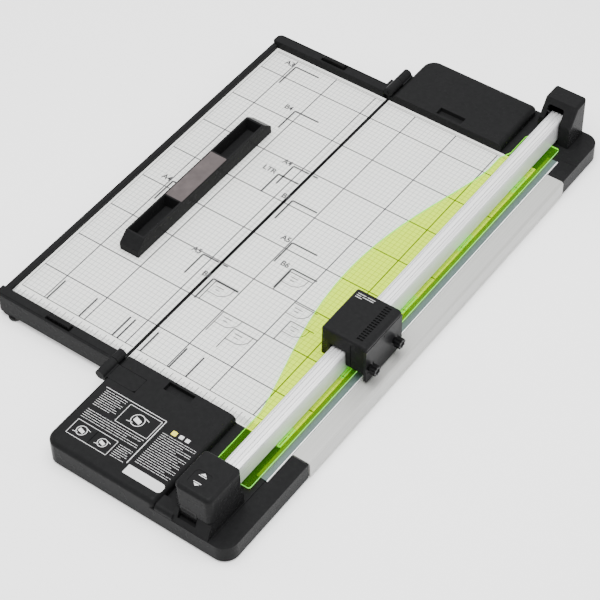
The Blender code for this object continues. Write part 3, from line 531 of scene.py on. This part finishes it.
def rear_casing():
    """Tall block, low deck and the tower that holds the rail's pivot."""
    tall_right, tall_rear = -50.0, rear_y[1] - 3
    tall = prism(rounded(CASE_LEFT, tall_right, TABLE_END + GAP, tall_rear, (0, 0, 6, 14), 12),
                 BASE_Z, CASE_TOP)
    soften(tall, CASE_ROUND,
           lambda a, b: min(a.z, b.z) > CASE_TOP - 0.01 and (a.y + b.y) / 2 > TABLE_END + 6, 8)
    low = prism(rounded(tall_right - 5, CASE_RIGHT, TABLE_END + 2 * GAP, rear_y[1],
                        (0, 1, DECK_CORNER, 0), 12), BASE_Z + 0.2, DECK)
    x0, x1 = tail_x[0] - 1.6, tail_x[1] + 1.6
    front, back = 477.0, rear_y[1] - 0.6
    slope_y, slope_z = 489.5, 26.5          # the sloping part of the tower's front
    side = [(front, DECK - 2), (back, DECK - 2), (back, rear_z[1]), (slope_y, rear_z[1]),
            (front, slope_z)]
    tower = prism(side, x0, x1, "X")
    soften(tower, 3.6, lambda a, b: abs(a.x - b.x) < 5 and max(a.z, b.z) > 40, 8)
    body = combine(tall, [low, tower], "UNION")
    under_x, under_y, under_z = extent("rear_bottom_cover")
    under = prism(rounded(under_x[0] - GAP, under_x[1] + GAP, under_y[0] - GAP, under_y[1] + GAP,
                          (0.5, 0.5, UNDER_CORNER, UNDER_CORNER)), BASE_Z - 1, under_z[1] + GAP)
    wall = 3.5
    inside = [(front + wall, DECK - 0.8), (back - wall, DECK - 0.8), (back - wall, rear_z[1] - wall),
              (slope_y + 1, rear_z[1] - wall), (front + wall, slope_z - 1)]
    well = prism(inside, x0 + wall, x1 - wall, "X")
    window_x, window_top = (-27.4, -8.9), 40
    window = prism(rounded(*window_x, DECK - 0.4, window_top, (0, 0, 2.5, 2.5)), front - 2, 497, "Y")
    slot = block(SLOT_X, (TABLE_END + SLOT_Y[0], TABLE_END + SLOT_Y[1]),
                 (CASE_TOP - SLOT_DEPTH, CASE_TOP + 1))
    groove = block((mat_x[0] - GAP, mat_x[1] + GAP), (TABLE_END - 3, mat_y[1] + GAP),
                   (mat_z[0] - GAP, 2))
    step = block((2.5, CASE_RIGHT + 1), (TABLE_END - 1, 460.5), (DECK - 0.35, 3))
    bore = rod(((tail_y[0] + tail_y[1]) / 2, (tail_z[0] + tail_z[1]) / 2), 2.8,
               tail_x[0] - 0.4, tail_x[1] + 0.4, "X")
    body = combine(body, [under, well, window, slot, step, groove, bore])
    body = combine(body, [barrel(*CASE_BARREL_REAR, CASE_LEFT + 1), hinge_ledge(*LEDGE_REAR)], "UNION")
    body = combine(body, [rod(HINGE, PIN_BORE_R, 453, CASE_BARREL_REAR[1] - 0.2, "Y", 24)])
    piece("rear_casing", body, BLACK, "base", ["rear_block"], bevel=0.5)


front_casing()
rear_casing()


# ---- fold-out table -----------------------------------------------------------------
def tray_guide(node, y_in, outward, barrel_y):
    """End guide of the side table, with its leg, hinge barrel and raised tab."""
    x = extent(node)[0]
    depth, bottom, top = 12, -14.0, 9.0
    low, high = sorted((y_in, y_in + depth * outward))
    right, leg_right, leg_top, leg_foot = -194.5, -308.0, -12.0, -18.0
    corners = (6, 0, 0, 1) if outward < 0 else (1, 0, 0, 6)
    bar = prism(rounded(x[0], right, low, high, corners), bottom, top)
    soften(bar, 1.6, lambda a, b: min(a.z, b.z) > 8.9 and (a.x < right - 1 or b.x < right - 1), 4)
    relief = block((leg_right, right + 1), (low + 2, high - 2), (bottom - 1, 4.0))
    leg = prism([(x[0] + 2, leg_top), (x[0] + 8, leg_foot), (leg_right - 4, leg_foot),
                 (leg_right, leg_top)], low + 1, high - 1, "Y")
    hook = node.replace("guide", "hook")
    hook_x, hook_y, hook_z = extent(hook)
    seat = prism(rounded(hook_x[0] - 1.5, hook_x[1] + 1.5, low + 2.5, high - 2.5), 6.0, 11)
    line = block((x[0] + 1.5, right - 2), sorted((y_in + 9.6 * outward, y_in + 10.2 * outward)), (8.5, 10))
    body = combine(combine(bar, [relief]), [leg], "UNION")
    body = combine(body, [seat, line])
    body = combine(body, [barrel(*barrel_y, right - 3)], "UNION")
    body = combine(body, [rod(HINGE, PIN_BORE_R, barrel_y[0] - 1, barrel_y[1] + 1, "Y", 24)])
    piece(node + "_shell", body, BLACK, "tray", [node], bevel=0.4)
    tab = prism(rounded(hook_x[0], hook_x[1], hook_z[0], hook_z[1], (0.2, 0.2, 2.2, 2.2)), *hook_y, "Y")
    piece(node.replace("guide", "tab"), tab, DARK, "tray", [hook], bevel=0.5)


tray_guide("tray_front_guide", 0.0, -1, TRAY_BARREL_FRONT)
tray_guide("tray_rear_guide", TABLE_END, 1, TRAY_BARREL_REAR)


def stop_bar():
    """Loose paper stop with sloping ends, two open compartments and a pad between them."""
    x0, x1 = stop_x
    y0, y1 = stop_y
    top, end_z, slope, floor_top = stop_z[1], 9.0, 11.0, 3
    side = [(y0, stop_z[0]), (y1, stop_z[0]), (y1, end_z), (y1 - slope, top), (y0 + slope, top),
            (y0, end_z)]
    bar = prism(side, x0, x1, "X")
    hollow_x, hollow_z = (x0 + 2, x1 - 2.6), (floor_top, top + 1)
    near = block(hollow_x, (y0 + slope + 2, pad_y[0] - 1.8), hollow_z)
    far = block(hollow_x, (pad_y[1] + 1.8, y1 - slope - 2), hollow_z)
    seat = block((pad_x[0] - GAP, pad_x[1] + GAP), (pad_y[0] - GAP, pad_y[1] + GAP),
                 (pad_z[0] - GAP, top + 1))
    piece("paper_stop_shell", combine(bar, [near, far, seat]), BLACK, "stop",
          ["paper_stop"], bevel=0.55)
    pad = prism(rounded(*pad_x, *pad_y, (1, 1, 1, 1)), *pad_z)
    piece("stop_felt", pad, PAD, "stop", ["stop_pad"], bevel=0.2)


stop_bar()


def fold_strips():
    """Black edging in the fold between the two boards."""
    for name, x, body in (("table_fold_edge", (FOLD[1] - 2.3, FOLD[1] - 0.1), "base"),
                          ("tray_fold_edge", (FOLD[0] + 0.1, FOLD[0] + 1.0), "tray")):
        strip = block(x, (panel_y[0] + 0.5, panel_y[1] - 0.5), (panel_z[0], panel_z[1] - 0.25))
        piece(name, strip, DARK, body, bevel=0.15, segments=1)


fold_strips()


# ---- rail arm -----------------------------------------------------------------------
def rail_profile():
    """Hollow rail with fine grooves along its top and its outer side."""
    x0, x1 = rail_x
    z0, z1 = rail_z
    outline = rounded(x0, x1, z0, z1, (0.5, 0.5, 2.6, 2.6), 8)
    tube = prism(outline, *rail_y, "Y")
    ends = (rail_y[0] - 1, rail_y[1] + 1)
    bore = block((x0 + 1.7, x1 - 1.7), ends, (z0 + 1.7, z1 - 2.3))
    mid = (x0 + x1) / 2
    grooves = [block((mid + k - w, mid + k + w), ends, (z1 - d, z1 + 1))
               for k, w, d in ((-5.6, 0.4, 1.7), (-3.6, 0.75, 1.9), (0.8, 0.6, 1.9), (4.2, 0.45, 1.7))]
    side = [block((x1 - 0.35, x1 + 1), ends, (z - 0.2, z + 0.2)) for z in (7.2, 24.2)]
    piece("rail_profile", combine(tube, [bore] + grooves + side), ALUMINIUM, "rail_arm",
          ["rail"], bevel=0.12, segments=1)


def end_cap():
    """Front cap of the rail with its printed arrows, and the sprung catch in its face."""
    cap = prism(rounded(*cap_x, *cap_y, (6, 6, 5, 5), 8), *cap_z)
    soften(cap, 4.4, at_level(cap_z[1]), 8, clamp=False)
    inside = block((cap_x[0] + CAP_WALL, cap_x[1] - CAP_WALL),
                   (cap_y[0] + CAP_WALL, cap_y[1] - CAP_WALL), (cap_z[0] - 1, cap_z[1] - 4))
    door = block((rail_x[0] - 0.6, rail_x[1] + 0.6), (cap_y[1] - 3.5, cap_y[1] + 1),
                 (cap_z[0] - 1, rail_z[1] + 0.6))
    cut = block((-32.4, -13.6), (cap_y[0] - 1, cap_y[0] + 3.5), (cap_z[0] - 1, 20.4))
    recess_floor = cap_z[1] - 0.5
    recess = prism(rounded(-29.5, -11.5, -105.0, -87.5, (4, 4, 4, 4)), recess_floor, cap_z[1] + 1)
    piece("end_cap_shell", combine(cap, [inside, door, cut, recess]), BLACK, "rail_arm",
          ["rail_end_cap"], bevel=0.45)
    z = (recess_floor, cap_z[1] - 0.44)
    arrows = []
    for y, way in ((-91.0, 1), (-101.0, -1)):
        tip = [(-23.6, y), (-17.4, y), (-20.5, y + 2.6 * way)]
        arrows.append(prism(tip, *z))
        arrows.append(block((-24.6, -16.4), sorted((y - 1.6 * way, y - 0.9 * way)), z))
    piece("cap_arrows", merged(arrows), WHITE_INK, "rail_arm")
    lx, ly, lz = extent("latch_tongue")
    tongue = prism(rounded(*lx, lz[0], 20.0, (1.2, 1.2, 0.6, 0.6)), ly[0], ly[0] + 3.5, "Y")
    stem = block((-27.0, -19.0), (ly[0] + 2.8, ly[1]), (12.0, 38.0))
    grip = [block((lx[0] + 2, lx[1] - 2), (ly[0] - 1, ly[0] + 0.4), (z0, z0 + 0.8)) for z0 in (14.5, 16.5)]
    body = combine(combine(tongue, [stem], "UNION"), grip)
    piece("latch_catch", body, DARK, "latch", ["latch_tongue"], bevel=0.3)


rail_profile()
end_cap()


# ---- clamp sheet --------------------------------------------------------------------
LUG_START, LUG_PITCH = -3.0, 98.0


def clamp():
    """Green sheet whose left edge swells into a wave, with five U-shaped lugs."""
    z0, z1 = clamp_z[0], 3.5
    left, bulge, mid, half = -45.0, 36.0, 210.0, 195.0
    rear_left, corner, taper_y = -39.5, 2.5, (424.0, 437.0)
    points = arc(clamp_x[1] - corner, clamp_y[0] + corner, corner, -90, 0, 5)
    points += arc(clamp_x[1] - corner, clamp_y[1] - corner, corner, 0, 90, 5)
    points += arc(rear_left + 5, clamp_y[1] - 5, 5, 90, 180, 6)
    points += [(rear_left, taper_y[1]), (left, taper_y[0])]
    steps = 96
    for i in range(steps + 1):
        t = 1 - 2 * i / steps
        points.append((left - bulge * (1 - t * t) ** 1.5, mid + half * t))
    points += arc(left + corner, clamp_y[0] + corner, corner, 180, 270, 5)
    sheet = prism(points, z0, z1)
    obj = piece("green_sheet", sheet, [GREEN, GREEN_EDGE], "clamp",
                ["clamp_sheet"], bevel=0.15, segments=1)
    # The side faces take the cut-edge material, whose emission paints the bright light along the sheet's
    # edges.
    for face in obj.data.polygons:
        if abs(face.normal.z) < 0.9:
            face.material_index = 1
    lugs = []
    for k in range(5):
        y = LUG_START + LUG_PITCH * k
        lug = prism(rounded(-9.4, -6.2, y, y + 25, (1.5, 1.5, 0.6, 0.6), 6), z1 + 0.02, z1 + 1.3)
        inner = prism(rounded(-8.8, -6.8, y + 0.6, y + 26, (1.0, 1.0, 0, 0), 6), z1 - 1, z1 + 3)
        lugs.append(combine(lug, [inner]))
    # The lugs' material also shines with painted light from its emission.
    piece("green_lugs", merged(lugs), GREEN_LUG, "clamp", bevel=0.1, segments=1)


clamp()


# ---- cutting strip and edge ---------------------------------------------------------
def strip():
    """Replaceable cutting strip with its white lip, and the extrusion along the edge. The strip's top is
    painted shade, dark grey-blue for the green sheet's shadow on a pale strip; the narrow lip keeps the
    strip's pale colour.
    """
    lip = 0.9
    web_z, foot, wall, radius = -4.0, 9, 2.2, 3
    bed = block((mat_x[0], mat_x[1] - lip), mat_y, mat_z)
    score = block((-0.25, 0.25), (mat_y[0] + 8, mat_y[1] - 8), (mat_z[1] - 0.12, 2))
    # The bed takes the material with the painted shade.
    piece("mat_strip", combine(bed, [score]), MAT, "base", ["cutting_mat"],
          bevel=0.12, segments=1)
    edge = block((mat_x[1] - lip + 0.02, mat_x[1]), mat_y, mat_z)
    piece("mat_white_edge", edge, WHITE_EDGE, "base", bevel=0.1, segments=1)
    x0, x1 = edge_x
    outline = [(x0, web_z), (x0, edge_z[1])]
    outline += [(x1 - radius + radius * sin(radians(a)), -radius + radius * cos(radians(a)))
                for a in range(0, 91, 10)]
    outline += [(x1, edge_z[0]), (x1 - foot, edge_z[0]), (x1 - foot, edge_z[0] + wall),
                (x1 - wall, edge_z[0] + wall), (x1 - wall, web_z)]
    profile = prism(outline, *edge_y, "Y")
    groove = block((x1 - 0.3, x1 + 1), (edge_y[0] - 1, edge_y[1] + 1), (-15.75, -15.25))
    piece("edge_profile", combine(profile, [groove]), EDGE_METAL, "base",
          ["edge_extrusion"], bevel=0.15, segments=1)


strip()


# ---- carriage -----------------------------------------------------------------------
def carriage():
    """Cover with its vents, side plate of the blade cartridge and the two lobed knobs."""
    px, py, pz = extent("blade_cartridge")
    top = cover_z[1] - 0.06                 # leaves room for the print
    brow_x, brow_z, shoulder, wall = px[1] - 0.3, 44.6, 3.4, 2.2
    outline = [(cover_x[0], cover_z[0]), (cover_x[1], cover_z[0]), (cover_x[1], brow_z), (brow_x, brow_z)]
    outline += arc(brow_x - shoulder, top - shoulder, shoulder, 0, 90, 10)
    outline += arc(cover_x[0] + shoulder, top - shoulder, shoulder, 90, 180, 10)
    outline.append((cover_x[0], brow_z))
    cover = prism(outline, *cover_y, "Y")
    soften(cover, 2.2, lambda a, b: abs(a.y - b.y) < 0.01 and min(a.z, b.z) > brow_z - 0.01
           and max(a.z, b.z) > brow_z + 0.01, 8, clamp=False)
    inside = block((cover_x[0] + wall, cover_x[1] + 1), (cover_y[0] + wall, cover_y[1] - wall),
                   (cover_z[0] - 1, top - wall))
    tunnel = block((rail_x[0] - 1.2, rail_x[1] + 1.2), (cover_y[0] - 1, cover_y[1] + 1),
                   (cover_z[0] - 1, rail_z[1] + 2.6))
    rib = block((-4.0, -3.2), (cover_y[0] - 1, cover_y[0] + 0.6), (cover_z[0] - 1, top - 6))
    vents, pitch, vent_x, vent_y, vent_depth = 15, 3.25, 3.1, 1.9, 1.6
    slots = []
    for column in (-1.6, 2.0):
        for k in range(vents):
            y = cover_y[0] + 6.0 + pitch * k
            slots.append(block((column, column + vent_x), (y, y + vent_y), (top - vent_depth, top + 1)))
    piece("carriage_shell", combine(cover, [inside, tunnel, rib, merged(slots)]), BLACK, "head",
          ["carriage_cover"], bevel=0.25)

    by, bz = extent("blade_disc")[1:]
    centre = ((by[0] + by[1]) / 2, (bz[0] + bz[1]) / 2)
    knobs = [extent(n) for n in ("front_knob", "rear_knob")]
    knob_z = (knobs[0][2][0] + knobs[0][2][1]) / 2
    plate_t, cut_corner = 3.2, 6
    plate_x = (px[1] - plate_t, px[1])
    outline = [(py[0] + 1, pz[0]), (py[1] - cut_corner, pz[0]), (py[1], pz[0] + cut_corner)]
    outline += [(py[1], brow_z - GAP), (py[0], brow_z - GAP), (py[0], pz[0] + 1)]
    plate = prism(outline, *plate_x, "X")
    boss = rod(centre, 6.0, px[0], plate_x[0] + 1, "X")
    axes = [((k[1][0] + k[1][1]) / 2, knob_z) for k in knobs]
    rings = [rod(axis, 6.4, plate_x[1] - 0.6, plate_x[1] + 1, "X") for axis in axes]
    holes = [rod(axis, 1.9, plate_x[0] - 1, plate_x[1] + 1, "X", 24) for axis in axes]
    holes.append(rod(centre, 2.3, px[0] - 1, px[0] + 6, "X", 32))
    holes.append(rod((centre[0], 41.0), 0.9, plate_x[0] - 1, plate_x[1] + 1, "X", 20))
    body = combine(combine(plate, [boss], "UNION"), rings + holes)
    piece("side_plate", body, PLATE, "head", ["blade_cartridge"], bevel=0.35)

    lobes, lobe_depth, head_t = 8, 1.5, 6.2
    for node, name, carrier in (("front_knob", "front_screw_knob", "front_thumbscrew"),
                                ("rear_knob", "rear_screw_knob", "rear_thumbscrew")):
        x, y, z = extent(node)
        mid_y, mid_z = (y[0] + y[1]) / 2, (z[0] + z[1]) / 2
        r = (y[1] - y[0]) / 2
        outline = []
        for i in range(lobes * 12):
            a = 2 * pi * i / (lobes * 12)
            reach = r - lobe_depth * (0.5 - 0.5 * cos(lobes * a)) ** 1.6
            outline.append((mid_y + reach * cos(a), mid_z + reach * sin(a)))
        head = prism(outline, x[1] - head_t, x[1], "X")
        dish = rod((mid_y, mid_z), 2.9, x[1] - 0.8, x[1] + 1, "X")
        stem = rod((mid_y, mid_z), 1.5, x[0], x[1] - 5, "X", 24)
        collar = rod((mid_y, mid_z), 3.4, plate_x[1] + GAP - 0.5, x[1] - 5, "X", 32)
        body = combine(combine(head, [dish]), [collar, stem], "UNION")
        piece(name, body, DARK, carrier, [node], bevel=0.35)
    z = (top + 0.01, top + 0.05)
    bars = [block((-32.0 + k, -32.0 + k + w), (y, y + 0.8), z)
            for y, words in ((155.8, ((0, 9), (10.5, 8.5))), (153.4, ((0, 5), (6.5, 12))),
                             (151.0, ((0, 7),)))
            for k, w in words]
    piece("carriage_print", merged(bars), GREY_INK, "head")


carriage()


def springs():
    """The sprung parts' coils, copied from the CAD springs and put on their bodies."""
    coils = (("latch_spring", "rail_arm", "latch_slide", 1, 0.0032),
             ("front_return_spring", "carriage", "head_press", 2, 0.002),
             ("rear_return_spring", "carriage", "head_press", 2, 0.002))
    for node, body, joint, axis, travel in coils:
        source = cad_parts[node]
        coil = bpy.data.objects.new(node.replace("spring", "coil"), source.data.copy())
        coil.matrix_world = source.matrix_world
        bpy.context.collection.objects.link(coil)
        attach(coil, body)
        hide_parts(node)
        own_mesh(coil)


springs()


# ---- printed marks ------------------------------------------------------------------
LIFT = 0.02                                 # print above its surface, and its thickness
INK_T = 0.04
LABEL_SIZE, LABEL_WEIGHT = 9, 0.22


def stroke(a, b, width, z):
    """A thin printed line between two points of the table."""
    a, b = Vector(a), Vector(b)
    side = (b - a).normalized().orthogonal() * width / 2
    return prism([tuple(a - side), tuple(b - side), tuple(b + side), tuple(a + side)],
                 z + LIFT, z + LIFT + INK_T)


def lettering(name, words, size, mat, body, z):
    """Plain labels lying on a surface; words holds (text, x, y)."""
    parts = []
    for text, x, y in words:
        curve = bpy.data.curves.new("label", "FONT")
        curve.body = text
        curve.size = size
        curve.extrude = INK_T / 2
        curve.offset = LABEL_WEIGHT
        obj = bpy.data.objects.new("label", curve)
        bpy.context.collection.objects.link(obj)
        mesh = evaluated(obj)
        bpy.data.objects.remove(obj, do_unlink=True)
        bm = bmesh.new()
        bm.from_mesh(mesh)
        bmesh.ops.translate(bm, vec=(x, y, z + LIFT + INK_T / 2), verts=bm.verts)
        parts.append(bm)
    piece(name, merged(parts), mat, body)


# Corners of the printed card and sheet marks: standard sizes, laid from the cutting line and the
# front guide, so X is minus one side and Y is the other.
CARD_SIZES = ((178, 127), (148, 100), (127, 89))
CARDS = tuple(corner for a, b in CARD_SIZES for corner in ((-a, b), (-b, a)))
SHEETS = (("A3", -297, 420), ("B4", -257, 364), ("A4", -210, 297), ("LTR", -216, 279), ("B5", -182, 257),
          ("A5", -148, 210), ("A5", -210, 148), ("B6", -128, 182), ("B6", -182, 128), ("A4", -297, 210))
MARK_WIDTH, MARK_LENGTH = 1.9, 30
TABLE_RIGHT = -9                            # where the table's print stops, beside the mat


def table_marks():
    """Corner marks and names of the paper sizes, card outlines and border lines."""
    tray, table = [], []

    def add(a, b, width):
        """Splits a line at the fold, so that each part lies on its own board."""
        for target, low, high in ((tray, panel_x[0] + 1, FOLD[0] - 0.5), (table, FOLD[1] + 0.5, -8.5)):
            p, q = Vector(a), Vector(b)
            if p.x > q.x:
                p, q = q, p
            if abs(q.x - p.x) < 0.01:
                if low <= p.x <= high:
                    target.append(stroke(p, q, width, 0))
                continue
            t0, t1 = max(0, (low - p.x) / (q.x - p.x)), min(1, (high - p.x) / (q.x - p.x))
            if t1 > t0:
                target.append(stroke(p.lerp(q, t0), p.lerp(q, t1), width, 0))

    for _, x, y in SHEETS:
        add((x, y), (x + MARK_LENGTH, y), MARK_WIDTH)
        add((x, y), (x, y - MARK_LENGTH), MARK_WIDTH)
    for x in (-297, -257, -216, -210, -182, -148, -128):
        add((x, BORDER_FRONT), (x, BORDER_FRONT + 28), MARK_WIDTH)
    add((BORDER_LEFT, BORDER_FRONT), (TABLE_RIGHT, BORDER_FRONT), 0.9)
    border_gap = 1.6
    for y in (BORDER_REAR, BORDER_REAR + border_gap):
        add((BORDER_LEFT, y), (TABLE_RIGHT, y), 0.5)
    add((BORDER_LEFT, BORDER_FRONT), (BORDER_LEFT, BORDER_REAR), 0.5)
    for x in (FOLD[0] - 3.5, FOLD[1] + 3.5):
        add((x, BORDER_FRONT), (x, BORDER_REAR), 0.3)
    piece("tray_marks", merged(tray), INK_MAT, "tray")
    cards = []
    for x, y in CARDS:
        curl = [(x, y - 15), (x + 13, y - 15), (x + 18.5, y - 12), (x + 21.5, y - 7.5), (x + 22, y)]
        for a, b in zip(curl, curl[1:]):
            cards.append(stroke(a, b, 0.8, 0))
        cards.append(stroke((x, y), (x + 27, y), 1.1, 0))
        cards.append(stroke((x, y), (x, y - 28), 1.1, 0))
        cards.append(stroke((x + 4, y - 5), (x + 13, y - 5), 0.9, 0))
        cards.append(stroke((x + 6, y - 9), (x + 11, y - 9), 0.9, 0))
    piece("card_marks", merged(cards), CARD_INK, "base")
    piece("table_marks", merged(table), INK_MAT, "base")
    on_tray, on_table = [], []
    for text, x, y in SHEETS:
        label = (text, x - (19 if text == "LTR" else 13.5), y - 2)
        (on_table if label[1] > FOLD[1] else on_tray).append(label)
    lettering("tray_labels", on_tray, LABEL_SIZE, INK_MAT, "tray", 0)
    lettering("table_labels", on_table, LABEL_SIZE, INK_MAT, "base", 0)


def casing_print():
    """Neutral bars and plain framed diagrams where the casing carries printing."""
    z = CASE_TOP
    ink = (z + LIFT, z + LIFT + INK_T)
    text_w, frame_w, detail_w = 0.4, 0.5, 0.6
    bars = []

    def rows(x0, x1, y_top, count, pitch, width, seed):
        """Lines of words, every third line shorter; seed varies the words' lengths."""
        for k in range(count):
            y = y_top - pitch * k
            end = x1 - (x1 - x0) * (0.12 + 0.3 * ((seed + k * 7) % 5) / 5) * (k % 3 == 2)
            x, word = x0, seed + k
            while x < end - 1:
                word += 1
                stop = min(end, x + 2.6 + (word * 5 + k) % 7)
                bars.append(stroke((x, y), (stop, y), width, z))
                x = stop + 0.8

    def outline(x0, x1, y0, y1, width):
        """Four strokes round a diagram."""
        for a, b in (((x0, y0), (x1, y0)), ((x1, y0), (x1, y1)), ((x1, y1), (x0, y1)), ((x0, y1), (x0, y0))):
            bars.append(stroke(a, b, width, z))

    bars.append(stroke((-174.0, -41.0), (-104.0, -41.0), 0.55, z))
    bars.append(stroke((-104.0, -41.0), (-104.0, -98.0), 0.8, z))
    rows(-172.0, -147.0, -44.0, 9, 2.4, text_w, 1)
    outline(-143.0, -106.5, -67.0, -44.0, frame_w)
    rows(-172.0, -107.0, -70.0, 5, 2.5, text_w, 3)
    outline(-171.0, -147.0, -102.0, -84.0, frame_w)
    outline(-147.0, -125.0, -102.0, -84.0, frame_w)
    rows(-122.0, -107.0, -85.5, 7, 2.3, text_w, 2)
    rows(-99.0, -61.0, -53.0, 17, 2.45, text_w, 4)
    for x, y, r in ((-126.0, -55.0, 7.0), (-160.0, -93.0, 5.5), (-136.0, -93.0, 5.0)):
        ring = prism(arc(x, y, r, 0, 360, 40)[:-1], *ink)
        hole = prism(arc(x, y, r - 0.7, 0, 360, 40)[:-1], z - 1, z + 1)
        bars.append(combine(ring, [hole]))
        bars.append(prism([(x - r * 0.6, y - r * 0.25), (x + r * 0.5, y - r * 0.5),
                           (x + r * 0.6, y + r * 0.1), (x - r * 0.5, y + r * 0.45)], *ink))
        bars.append(stroke((x - r * 1.3, y - r * 0.8), (x - r * 0.4, y - r * 0.6), detail_w, z))
        bars.append(stroke((x + r * 0.6, y + r * 0.8), (x + r * 1.4, y + r * 0.6), detail_w, z))
    for x in (-84.0, -77.0):
        bars.append(block((x, x + 4.4), (-49.6, -45.6), ink))
    bars.append(prism(rounded(-101.0, -59.0, -108.0, -97.5, (0, 4, 4, 0)), *ink))
    piece("casing_print", merged(bars), WHITE_INK, "base")
    dot = prism(rounded(-92.5, -87.0, -50.3, -45.2, (1, 1, 1, 1)), *ink)
    piece("casing_dot", dot, YELLOW_INK, "base")


table_marks()
casing_print()

# ---- floor, light and camera --------------------------------------------------------
floor_z = CAD_BOX[0].z - 0.0002
mesh = bpy.data.meshes.new("floor")
reach = 6.0
mesh.from_pydata([(-reach, -reach, floor_z), (reach, -reach, floor_z), (reach, reach, floor_z),
                  (-reach, reach, floor_z)], [], [(0, 1, 2, 3)])
floor = bpy.data.objects.new("floor", mesh)
bpy.context.collection.objects.link(floor)
floor_look = Shader("floor_white", (0.95, 0.95, 0.95), 0.8, Emission_Color=(1, 1, 1, 1),
                    Emission_Strength=0.42)
mesh.materials.append(floor_look.mat)

world = bpy.data.worlds.new("studio")
world.use_nodes = True
world.node_tree.nodes["Background"].inputs["Color"].default_value = (1, 1, 1, 1)
world.node_tree.nodes["Background"].inputs["Strength"].default_value = 0.5
bpy.context.scene.world = world


def softbox(name, place, aim, size, power):
    """Rectangular area light turned towards a point."""
    light = bpy.data.lights.new(name, "AREA")
    light.shape = "RECTANGLE"
    light.size, light.size_y = size
    light.energy = power
    obj = bpy.data.objects.new(name, light)
    obj.location = place
    obj.rotation_euler = (Vector(aim) - Vector(place)).to_track_quat("-Z", "Y").to_euler()
    bpy.context.collection.objects.link(obj)


softbox("key", (0.15, -0.25, 1.7), (0, 0, 0), (1.4, 1.4), 66)
softbox("side", (1.5, 0.5, 0.9), (0, 0, 0), (0.9, 1.4), 14)
softbox("left", (-1.5, -0.6, 0.9), (0, 0, 0), (0.9, 1.2), 8)
softbox("back", (-0.9, 1.2, 1.7), (0, 0, 0), (1.7, 1.7), 14)

camera_data = bpy.data.cameras.new("camera")
camera_data.lens = 121.26
camera_data.sensor_width = 36.0
camera = bpy.data.objects.new("camera", camera_data)
RIGHT = Vector((0.80837, 0.58841, -0.01761))
UP = Vector((-0.42814, 0.60819, 0.66842))
BACK = Vector((0.40401, -0.53280, 0.74357))
camera.matrix_world = Matrix(((RIGHT.x, UP.x, BACK.x, 0.83569), (RIGHT.y, UP.y, BACK.y, -1.06659),
                              (RIGHT.z, UP.z, BACK.z, 1.45173), (0, 0, 0, 1)))
bpy.context.collection.objects.link(camera)
bpy.context.scene.camera = camera
